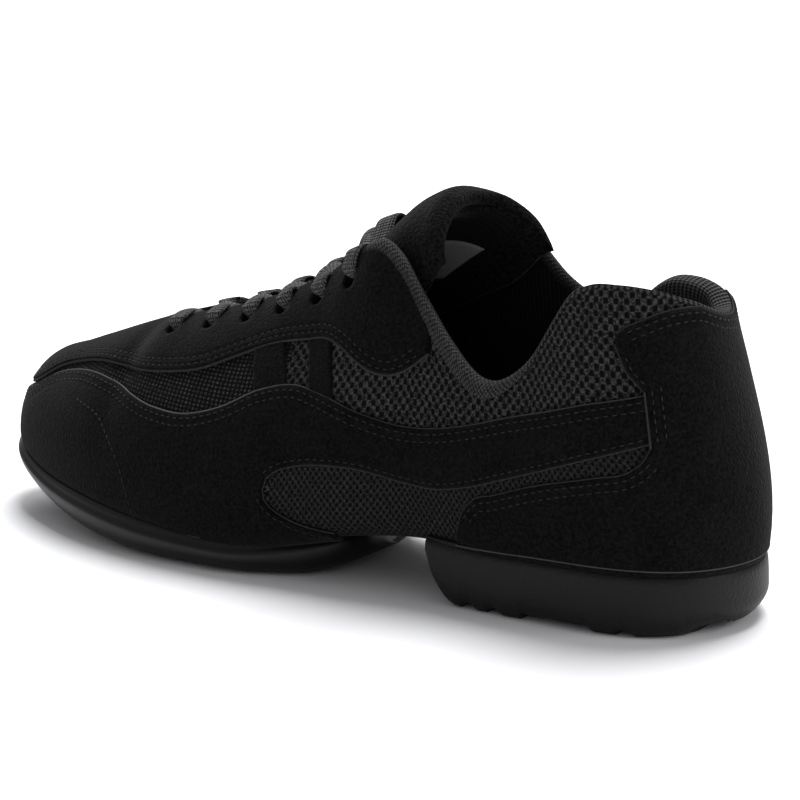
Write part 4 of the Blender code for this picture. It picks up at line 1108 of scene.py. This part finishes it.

# %% [markdown]
# ## Collar tape
# A strip of knit is folded over the top line. It is up to 5 mm deep beside the throat and hardly
# shows outside round the heel, where it is padded and ribbed on its inside. In front of the ear
# its inside is painted darker, as painted shade.

# %% Collar tape
# Section: share of the depth below the top line, metres out, and metres of padding
TAPE_PROFILE = (
    (1.0, 0.0002, 0), (1.0, 0.0009, 0), (0.80, 0.0012, 0), (0.45, 0.0013, 0), (0.15, 0.0012, 0),
    (0.0, 0.0009, 0), (-0.10, 0.0002, 0), (-0.13, -0.0010, 0), (-0.10, -0.0022, -0.0006),
    (0.0, -0.0031, -0.0014), (0.25, -0.0036, -0.0022), (0.60, -0.0036, -0.0022),
    (1.0, -0.0031, -0.0008), (1.02, -0.0024, 0.0),
)
tape_ribs = ribs(TAPE_START, TURN - TAPE_START, 0.04)
depths = table(TAPE_DEPTHS, tape_ribs)
inside_depths, fat, pad = (table(rows, tape_ribs) for rows in (TAPE_INSIDE, TAPE_FAT, TAPE_PAD))
edge = last(tape_ribs, 1.0)
out_way = last_normal(tape_ribs, 0.97)
up_way = edge - last(tape_ribs, 0.93)
up_way = up_way / np.linalg.norm(up_way, axis=1, keepdims=True)
profile = curve(np.arange(len(TAPE_PROFILE)), TAPE_PROFILE,
                np.linspace(0, len(TAPE_PROFILE) - 1, 40))
tape_rows = []
for number, (down, out, padding) in enumerate(profile):
    reach = depths if number < len(profile) / 2 else inside_depths
    q_low = q_below_top(tape_ribs, np.maximum(down, 0) * reach)
    outs = out * fat if out > 0 else out + padding * pad
    lift = max(-down, 0.0) * 0.0096 * (0.5 + 0.5 * fat)
    tape_rows.append(last(tape_ribs, q_low) + out_way * outs[:, None] + up_way * lift[:, None])
behind_ear = np.minimum(tape_ribs, TURN - tape_ribs) > 8.1
# Marks: 1 for rib knit behind the ear, -1 for painted shade on the inside rows in front of it.
inside_rows = (np.arange(40) > 20)[:, None]
rib_and_painted_shade_marks = np.where(behind_ear, 1.0, np.where(inside_rows, -1.0, 0.0))
tape = quilt("collar_tape_knit", [np.array(tape_rows)], knit_tape,
             extra=("rib_and_painted_shade_mark", [rib_and_painted_shade_marks]))
even_faces(tape, close=False)
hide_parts("collar_tape")

# %% [markdown]
# ## Tongue
# The tongue is foam between suede and a knit lining, with a thick roll round its top. Its rings
# start from the solid's two tables, its wings are turned and lifted as on the real shoe, and it is
# read on smooth curves both ways.

# %% Tongue
TONGUE = 0.0040
TONGUE_ROLL = 0.0085
# Rings inside the throat: rib, lift of the crown and thickness in shares of TONGUE
TONGUE_TUCKED = (
    (3.0, -1.25, 0.75), (3.3, -1.05, 1.0), (3.75, -0.45, 1.0), (4.3, 0.10, 1.0),
    (4.9, 0.60, 1.0), (5.4, 1.05, 1.0), (5.85, 1.55, 1.1),
)
# Rings above it: crown x and z, wing x, y and z, and the wall as a share of TONGUE_ROLL
TONGUE_FREE = (
    (0.442, 1.068, 0.398, 0.222, 0.800, 0.60), (0.412, 1.145, 0.372, 0.222, 0.850, 0.80),
    (0.388, 1.186, 0.352, 0.222, 0.915, 1.00), (0.369, 1.205, 0.338, 0.225, 0.975, 0.95),
    (0.356, 1.196, 0.328, 0.215, 1.005, 0.55),
)
TONGUE_ROWS = (0.62, 0.75, 0.88)
TONGUE_TWIST = {-1: 0.0085, 1: 0.0040}
TONGUE_MEDIAL_RISE = 0.0050
TONGUE_TIP = (0.0032, 0.0048)
TONGUE_GRID = (110, 97)
WING_THINNER = 0.42
tongue_rows, tongue_walls = [], []
for s, lift, thickness in TONGUE_TUCKED:
    heights = np.array(TONGUE_ROWS + ((0.95,) if s <= THROAT_FRONT else (1.0,)))
    clear = WALL + 0.0010 + 3 * GAP
    lateral = last(s, heights) - last_normal(s, heights) * clear
    medial = last(-s, heights) - last_normal(-s, heights) * clear
    crown = (last(s, 1.0) + last(-s, 1.0)) / 2 + np.array((0, 0, lift * TONGUE))
    tongue_rows.append(list(medial) + [crown] + list(lateral[::-1]))
    tongue_walls.append(thickness * TONGUE)
for number, (crown_x, crown_z, wing_x, wing_y, wing_z, roll) in enumerate(TONGUE_FREE):
    a = np.linspace(-pi / 2, pi / 2, 9)
    x = (wing_x + (crown_x - wing_x) * np.cos(a)) * LENGTH
    wing_share = np.sin(a)**2
    x = x + wing_share * np.where(a < 0, -TONGUE_TWIST[-1], TONGUE_TWIST[1])
    z = (wing_z + (crown_z - wing_z) * np.cos(a)) * COLLAR_HEIGHT
    z = z + np.where(a < 0, wing_share, 0) * TONGUE_MEDIAL_RISE
    tip_share = np.where(a < 0, wing_share, 0)**4 * number / (len(TONGUE_FREE) - 1)
    x = x - tip_share * TONGUE_TIP[0]
    z = z - tip_share * TONGUE_TIP[1]
    tongue_rows.append(list(np.stack([x, wing_y * np.sin(a) * BALL_WIDTH, z], 1)))
    tongue_walls.append(roll * TONGUE_ROLL * (1 - WING_THINNER * wing_share)[:, None])
tongue_rows = np.array(tongue_rows)
facing = np.cross(np.gradient(tongue_rows, axis=0), np.gradient(tongue_rows, axis=1))
facing = facing / np.linalg.norm(facing, axis=-1, keepdims=True)
facing = facing * np.sign(facing[5, 4, 2])
tongue_rings = []
for row, facing_row, wall in zip(tongue_rows, facing, tongue_walls):
    inner = row - facing_row * wall
    ends = [(row[0] + inner[0]) / 2, (row[-1] + inner[-1]) / 2]
    tongue_rings.append([ends[0]] + list(row[1:-1]) + [ends[1]] + list(inner[-2:0:-1]))
top_ring = np.array(tongue_rings[-1])
middle_line = (top_ring + top_ring[[(-i) % len(top_ring) for i in range(len(top_ring))]]) / 2
ring_share = np.array([(i - 4) / 4 if i < 9 else (12 - i) / 4 for i in range(16)])
lead = (tongue_rows[-1][4] - tongue_rows[-2][4]) * 0.6 * (1 - 0.9 * ring_share**2)[:, None]
tongue_rings.append(list(top_ring * 0.75 + middle_line * 0.25 + lead * 0.75))
tongue_rings.append(list(top_ring * 0.35 + middle_line * 0.65 + lead * 1.05))
tongue_rings.append(list(middle_line + lead * 1.15))
tongue_rings = np.array(tongue_rings)


# %% Tongue on smooth curves
def smooth_rings(rings, along_count, around_count):
    """Closed rings read on smooth curves along and around."""
    count, sides = rings.shape[:2]
    flat = rings.reshape(count, -1)
    along_rings = curve(np.arange(count), flat, np.linspace(0, count - 1, along_count))
    along_rings = along_rings.reshape(along_count, sides, 3)
    wrapped = np.concatenate([along_rings[:, -3:], along_rings, along_rings[:, :4]], axis=1)
    turned = np.moveaxis(wrapped, 1, 0).reshape(sides + 7, -1)
    around_rings = curve(np.arange(-3, sides + 4), turned, np.linspace(0, sides, around_count))
    return around_rings.reshape(around_count, along_count, 3)


tongue_skin = smooth_rings(tongue_rings, *TONGUE_GRID)
around_share = np.linspace(0, 16, TONGUE_GRID[1])
in_lining = (np.clip((around_share - 8.9) / 0.25, 0, 1)
             * np.clip((15.1 - around_share) / 0.25, 0, 1))
along_share = np.linspace(0, len(tongue_rings) - 1, TONGUE_GRID[0])
behind_roll = np.clip((10.1 - along_share) / 0.25, 0, 1)
lined = in_lining[:, None] * behind_roll[None, :]
tongue = quilt("tongue_padded", [tongue_skin], suede, extra=("lined", [lined]))
face_out(tongue, (0.45 * LENGTH, 0.0, 0.079))
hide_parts("tongue")

# %% Tongue finish
tongue_finish = Finish("tongue_suede_and_knit", roughness=0.95, specular=0.03, sheen=0.045)
lined_share = tongue_finish.attribute("lined")
along, up = tongue_finish.runs()
tongue_nap = tongue_finish.noise(1100.0, 3.0)
tongue_rib = (along * (2 * pi / 0.0020)).sine()
tongue_suede = tongue_finish.mix(tongue_nap.between(0.28, 0.74), 0.0012, 0.0100)
tongue_knit = tongue_finish.mix(tongue_rib.between(-1.0, 1.0), 0.005, 0.007)
tongue.data.materials[0] = tongue_finish.wear(
    tongue_finish.mix(lined_share, tongue_suede, tongue_knit),
    tongue_nap * (1 - lined_share) + tongue_rib * lined_share * 0.04, 0.0006)

# %% [markdown]
# ## Lace
# One flat lace runs criss-cross. Each half comes up out of a hole, goes over the edge of the
# eyestay and across the tongue, tucks under the opposite edge and comes up through the next hole.
# A straight run joins the top pair, and both ends stop inside, under the top eyelets.

# %% Lace paths
LACE_WIDTH = 0.0072
LACE = 0.0013
LACE_OVER = OVERLAY + LACE / 2 + 0.0002
LACE_UNDER = -WALL - LACE / 2 - 0.0001


def hole(number, sign):
    return sign * EYELET_RIBS[number], EYELET_Q[sign][number]


def tongue_top(s, share):
    """A point of the tongue's outer surface under rib s, from -1 medial to 1 lateral."""
    knots = [r[0] for r in TONGUE_TUCKED] + [6.2, 6.5, 6.8, 7.1, 7.4]
    rows = curve(knots, tongue_rows.reshape(len(knots), -1), np.array([s]))[0].reshape(9, 3)
    return curve(np.arange(9), rows, np.array([4 + 4 * share]))[0]


def rise_out(number, sign):
    """Knots from under a hole, up through it and over the eyestay's edge."""
    s, q = hole(number, sign)
    mid_q = q * 0.55 + 0.45
    n = last_normal(s, q)
    return [
        (last(s, q + 0.024) + n * LACE_UNDER, n, 0.50), (last(s, q + 0.030) + n * 0.0003, n, 0.56),
        (skin(s, q + 0.052, OVERLAY + 0.0012), n, 0.90),
        (skin(s, mid_q, LACE_OVER + 0.0004), last_normal(s, mid_q), 1.0),
        (skin(s, 1.0, LACE_OVER + 0.0001), last_normal(s, 1.0), 1.0),
    ]


def cross_over(number, sign, lift):
    """Knots across the tongue to the opposite edge and on below it to the next hole."""
    here, there = EYELET_RIBS[number], EYELET_RIBS[number + 1]
    ahead = np.array((0.30, 0.0, 0.95))
    middle = (here + there) / 2
    crown = tongue_top(middle, 0.0) + np.array((0, 0, LACE * 0.65 + lift))
    near = tongue_top(here * 0.7 + there * 0.3, 0.20 * sign) + np.array((0, 0, LACE * 0.8 + lift))
    far_edge = last(-sign * there, 1.0) + last_normal(-sign * there, 1.0) * LACE_UNDER
    far = tongue_top(here * 0.2 + there * 0.8, -0.20 * sign) + np.array((0, 0, LACE * 0.8))
    s, q = hole(number + 1, -sign)
    n = last_normal(s, q)
    return [(near, ahead, 1.0), (crown, ahead, 1.0), (far, ahead, 1.0),
            (far_edge, last_normal(-sign * there, 1.0), 0.95),
            (last(s, q * 0.5 + 0.5) + last_normal(s, q * 0.5 + 0.5) * LACE_UNDER, n, 0.8)]


def lace_run(name, knots, count):
    """A flat ribbon through knots of point, up direction and share of the full width."""
    points = np.array([k[0] for k in knots])
    runs = np.append(0, np.cumsum(np.linalg.norm(np.diff(points, axis=0), axis=1)))
    at = np.linspace(0, runs[-1], count)
    path = curve(runs, points, at)
    ups = curve(runs, np.array([k[1] for k in knots]), at)
    narrow = np.interp(at, runs, [k[2] for k in knots])
    rings = tube(path, ups, narrow * LACE_WIDTH / 2, LACE / 2 * (1 + (1 - narrow) * 0.8), 16)
    return even_faces(quilt(name, [rings], lace_weave))


# %% Lace
for half, first_sign in (("a", 1), ("b", -1)):
    knots = []
    sign = first_sign
    for number in range(5):
        knots += rise_out(number, sign)
        knots += cross_over(number, sign, LACE * 0.9 if sign > 0 else 0.0)
        sign = -sign
    knots.append(rise_out(5, sign)[0])
    lace_run(f"lace_{half}", knots, 420)
bar_up = rise_out(5, 1)
bar_down = rise_out(5, -1)[::-1]
bar_crown = tongue_top(EYELET_RIBS[5], 0.0) + np.array((0, 0, 2.0 * LACE))
bar_side = [tongue_top(EYELET_RIBS[5], share) + np.array((0, 0, 1.9 * LACE))
            for share in (0.25, -0.25)]
level = np.array((0.35, 0.0, 0.94))
bar_middle = [(point, level, 1.0) for point in (bar_side[0], bar_crown, bar_side[1])]
lace_run("lace_bar", bar_up + bar_middle + bar_down, 90)
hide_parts("lace_crossing_1", "lace_crossing_3", "lace_crossing_5")
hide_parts("lace_crossing_2", "lace_crossing_4")
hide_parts("lace_bar_top")

# %% [markdown]
# ## Inside
# A knit-covered insole lies on the lasting margin, and a plain woven label is sewn to the tongue's
# lining.

# %% Insole
sole_ribs = np.linspace(0.0, 11.0, 160)
insole_sides = []
for sign in (1, -1):
    at = foot(sign * sole_ribs)
    at[:, :2] -= outward(sign * sole_ribs) * (WALL + GAP + 0.35 * corner(sole_ribs))[:, None]
    insole_sides.append(at)
across = np.linspace(0, 1, 40)[:, None, None]
insole_top = insole_sides[0] * (1 - across) + insole_sides[1] * across
dished = np.clip(np.abs(np.linspace(-1, 1, 40))[:, None] * 3.0 - 2.0, 0, 1)**2 * 0.0022
insole_top[..., 2] = bed(insole_top[..., 0]) + WALL + GAP + 0.0042 + dished
insole = quilt("insole_cover", [insole_top], knit_lining)
face_out(insole, (0.45 * LENGTH, 0.0, 0.0))
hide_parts("insole")



# %% Label
def on_tongue(around_at, along_at):
    """Points of the tongue's skin at shares of its rings around and along."""
    rows = curve(around_share, tongue_skin.reshape(TONGUE_GRID[1], -1), around_at.ravel())
    rows = rows.reshape(-1, TONGUE_GRID[0], 3)
    places = [curve(along_share, row, np.array([at]))[0] for row, at in zip(rows, along_at.ravel())]
    return np.array(places).reshape(around_at.shape + (3,))


# Corners of the label: share around and share along
LABEL_CORNERS = np.array((((13.83, 5.90), (13.83, 7.19)), ((14.90, 6.50), (14.90, 7.90))))
u, v = np.meshgrid(eased(14), eased(14), indexing="ij")
u, v = u[..., None], v[..., None]
label_at = ((1 - u) * (1 - v) * LABEL_CORNERS[0, 0] + (1 - u) * v * LABEL_CORNERS[0, 1]
            + u * (1 - v) * LABEL_CORNERS[1, 0] + u * v * LABEL_CORNERS[1, 1])
under_label = on_tongue(label_at[..., 0], label_at[..., 1])
through = under_label - on_tongue(16 - label_at[..., 0], label_at[..., 1])
through = through / np.linalg.norm(through, axis=-1, keepdims=True)
from_rim = np.minimum(np.minimum(u, 1 - u), np.minimum(v, 1 - v))
label_height = -EDGE_SINK + 0.0009 * np.clip(from_rim / 0.02, 0, 1)
label = quilt("tongue_label", [under_label + through * label_height], woven_label)
face_out(label, tuple(under_label.mean((0, 1)) - through.mean((0, 1)) * 0.01))

# %% [markdown]
# ## Soles
# The forefoot sole is a thin glossy band with toe spring. The heel block is matt rubber with a
# rolled top edge, a rounded front and a notched tread. Both are rings across the sole, and the
# side of each is one smooth profile.

# %% Sole rings
SOLE_LIP = 0.0026
HEEL_LIP = 0.0020
HEEL_RIM = 0.0020
HEEL_FRONT = 0.331 * LENGTH
# Rounded front: millimetres behind the front and up from the floor
HEEL_NOSE = ((0.0, 15.8), (1.5, 9.1), (3.8, 4.4), (6.3, 1.3), (9.8, 0.0), (12.0, 0.0))
HEEL_NOSE_LENGTH = 0.012


def rise(x, start, end, height):
    """Arc that leaves the floor at start and reaches a height at end."""
    run = abs(end - start)
    radius = (run**2 + height**2) / (2 * height)
    d = np.clip((x - start) * np.sign(end - start), 0, run)
    return radius - np.sqrt(radius**2 - d**2)


def flange(s):
    """How far the rim reaches up where the upper's bottom corner is very round."""
    if s < 6.4:
        return 0.0
    return HEEL_RIM + max(corner(s) - 0.36 * ARCH_RADIUS, 0) * 0.6


def sole_rings(stations, profile_at, lip_at, ground, bottom):
    """Rings across a sole: lateral side down, along the bottom, and the medial side up."""
    columns = []
    for s in stations:
        out, share = profile_at(s)
        halves = []
        for sign in (1, -1):
            at = np.repeat(foot(sign * s)[None], len(out), axis=0)
            at[:, :2] += outward(sign * s) * lip_at(s, out)[:, None]
            base, roof = ground(at[:, 0]), bed(at[:, 0]) - GAP
            at[:, 2] = base + share * (roof - base) + flange(s) * np.clip(share * 3 - 2, 0, 1)
            halves.append(at)
        spread = np.linspace(0, 1, bottom + 2)[1:-1, None]
        below = halves[0][-1] * (1 - spread) + halves[1][-1] * spread
        below[:, 2] = ground(below[:, 0])
        above = halves[1][0] * (1 - spread) + halves[0][0] * spread
        above[:, 2] = bed(above[:, 0]) - GAP
        columns.append(np.concatenate([halves[0], below, halves[1][::-1], above, halves[0][:1]]))
    return np.moveaxis(np.array(columns), 0, 1)


# %% Forefoot sole
# Profile: lips out from the footprint, and height as a share; edge: rib and lips out
SOLE_SIDE = (
    (-0.9, 1.0), (-0.5, 1.09), (0.05, 1.09), (0.42, 1.0), (0.62, 0.88), (0.95, 0.76), (1.02, 0.60),
    (0.90, 0.42), (0.45, 0.24), (-0.2, 0.12), (-1.2, 0.03), (-2.4, 0.0),
)
SOLE_EDGE = (
    (0, 1.0), (4.4, 1.0), (5.0, 0.5), (5.4, -0.8), (5.73, -2.2), (5.97, -4.3), (6.1, -6.4),
    (6.19, -8.6), (6.24, -11.2),
)
sole_profile = curve(np.arange(len(SOLE_SIDE)), SOLE_SIDE, np.linspace(0, len(SOLE_SIDE) - 1, 41))
sole_stations = np.concatenate([np.linspace(0, 5.2, 110), np.linspace(5.2, 6.24, 50)[1:]])


def forefoot_ground(x):
    toe = foot(0)[0]
    return (rise(x, 0.675 * LENGTH, toe, 0.0170) + rise(x, 0.515 * LENGTH, 0.420 * LENGTH, 0.0105))


forefoot_rings = sole_rings(
    sole_stations, lambda s: (sole_profile[:, 0], sole_profile[:, 1]),
    lambda s, out: (out - 1 + table(SOLE_EDGE, np.array(s))) * SOLE_LIP, forefoot_ground, 20)
forefoot = even_faces(
    quilt("forefoot_sole_rubber", [forefoot_rings], gloss_rubber))
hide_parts("forefoot_sole")

# %% Heel block
HEEL_SIDE = (
    (-0.5, 1.0), (0.30, 1.0), (0.62, 0.985), (0.66, 0.965), (0.50, 0.948), (0.74, 0.925),
    (1.00, 0.85), (1.10, 0.58), (1.0, 0.30), (0.55, 0.10), (-0.5, 0.0),
)
HEEL_BACK = (
    (-0.5, 1.0), (0.30, 1.0), (0.62, 0.985), (0.66, 0.965), (0.50, 0.948), (0.74, 0.925),
    (1.00, 0.85), (1.15, 0.62), (1.0, 0.38), (-0.6, 0.13), (-3.2, 0.0),
)
HEEL_NOTCHES = (0.281, 0.249, 0.100)
HEEL_FLATS = ((0.217, 0.135), (0.045, 0.018))
HEEL_NOTCH = 0.0014


def heel_ground(x):
    """The tread: rounded front, notches and two recesses."""
    behind_nose = (HEEL_FRONT - x) * 1000
    front = curve([r[0] for r in HEEL_NOSE], [r[1] for r in HEEL_NOSE], behind_nose) * 0.001
    cut = np.zeros(np.shape(x))
    for share in HEEL_NOTCHES:
        reach = np.clip(1 - ((x - share * LENGTH) / 0.0024)**2, 0, 1)
        cut = np.maximum(cut, HEEL_NOTCH * np.sqrt(reach))
    for ahead, behind in HEEL_FLATS:
        inside = np.clip(np.minimum(ahead * LENGTH - x, x - behind * LENGTH) / 0.0006, 0, 1)
        cut = np.maximum(cut, HEEL_NOTCH * inside)
    return front + cut


def heel_profile(s):
    back = min(max((s - 9.2) / 1.2, 0), 1)
    rows = np.array(HEEL_SIDE) * (1 - back) + np.array(HEEL_BACK) * back
    fine_rows = curve(np.arange(len(rows)), rows, np.linspace(0, len(rows) - 1, 41))
    return fine_rows[:, 0], fine_rows[:, 1]


nose_share = 1 - np.cos(np.linspace(0, pi / 2, 18))
heel_x = np.concatenate([
    HEEL_FRONT - 0.0001 - HEEL_NOSE_LENGTH * nose_share,
    np.arange(HEEL_FRONT - HEEL_NOSE_LENGTH - 0.0005, 0.020, -0.0005)])
heel_stations = np.interp(heel_x, BED[::-1, 0], BED_S[::-1])
heel_stations = np.concatenate([heel_stations, np.linspace(heel_stations[-1], 11, 40)[1:]])
heel_rings = sole_rings(
    heel_stations, heel_profile, lambda s, out: out * HEEL_LIP, heel_ground, 12)
heel = even_faces(quilt("heel_block_rubber", [heel_rings], heel_rubber))
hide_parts("heel_block")
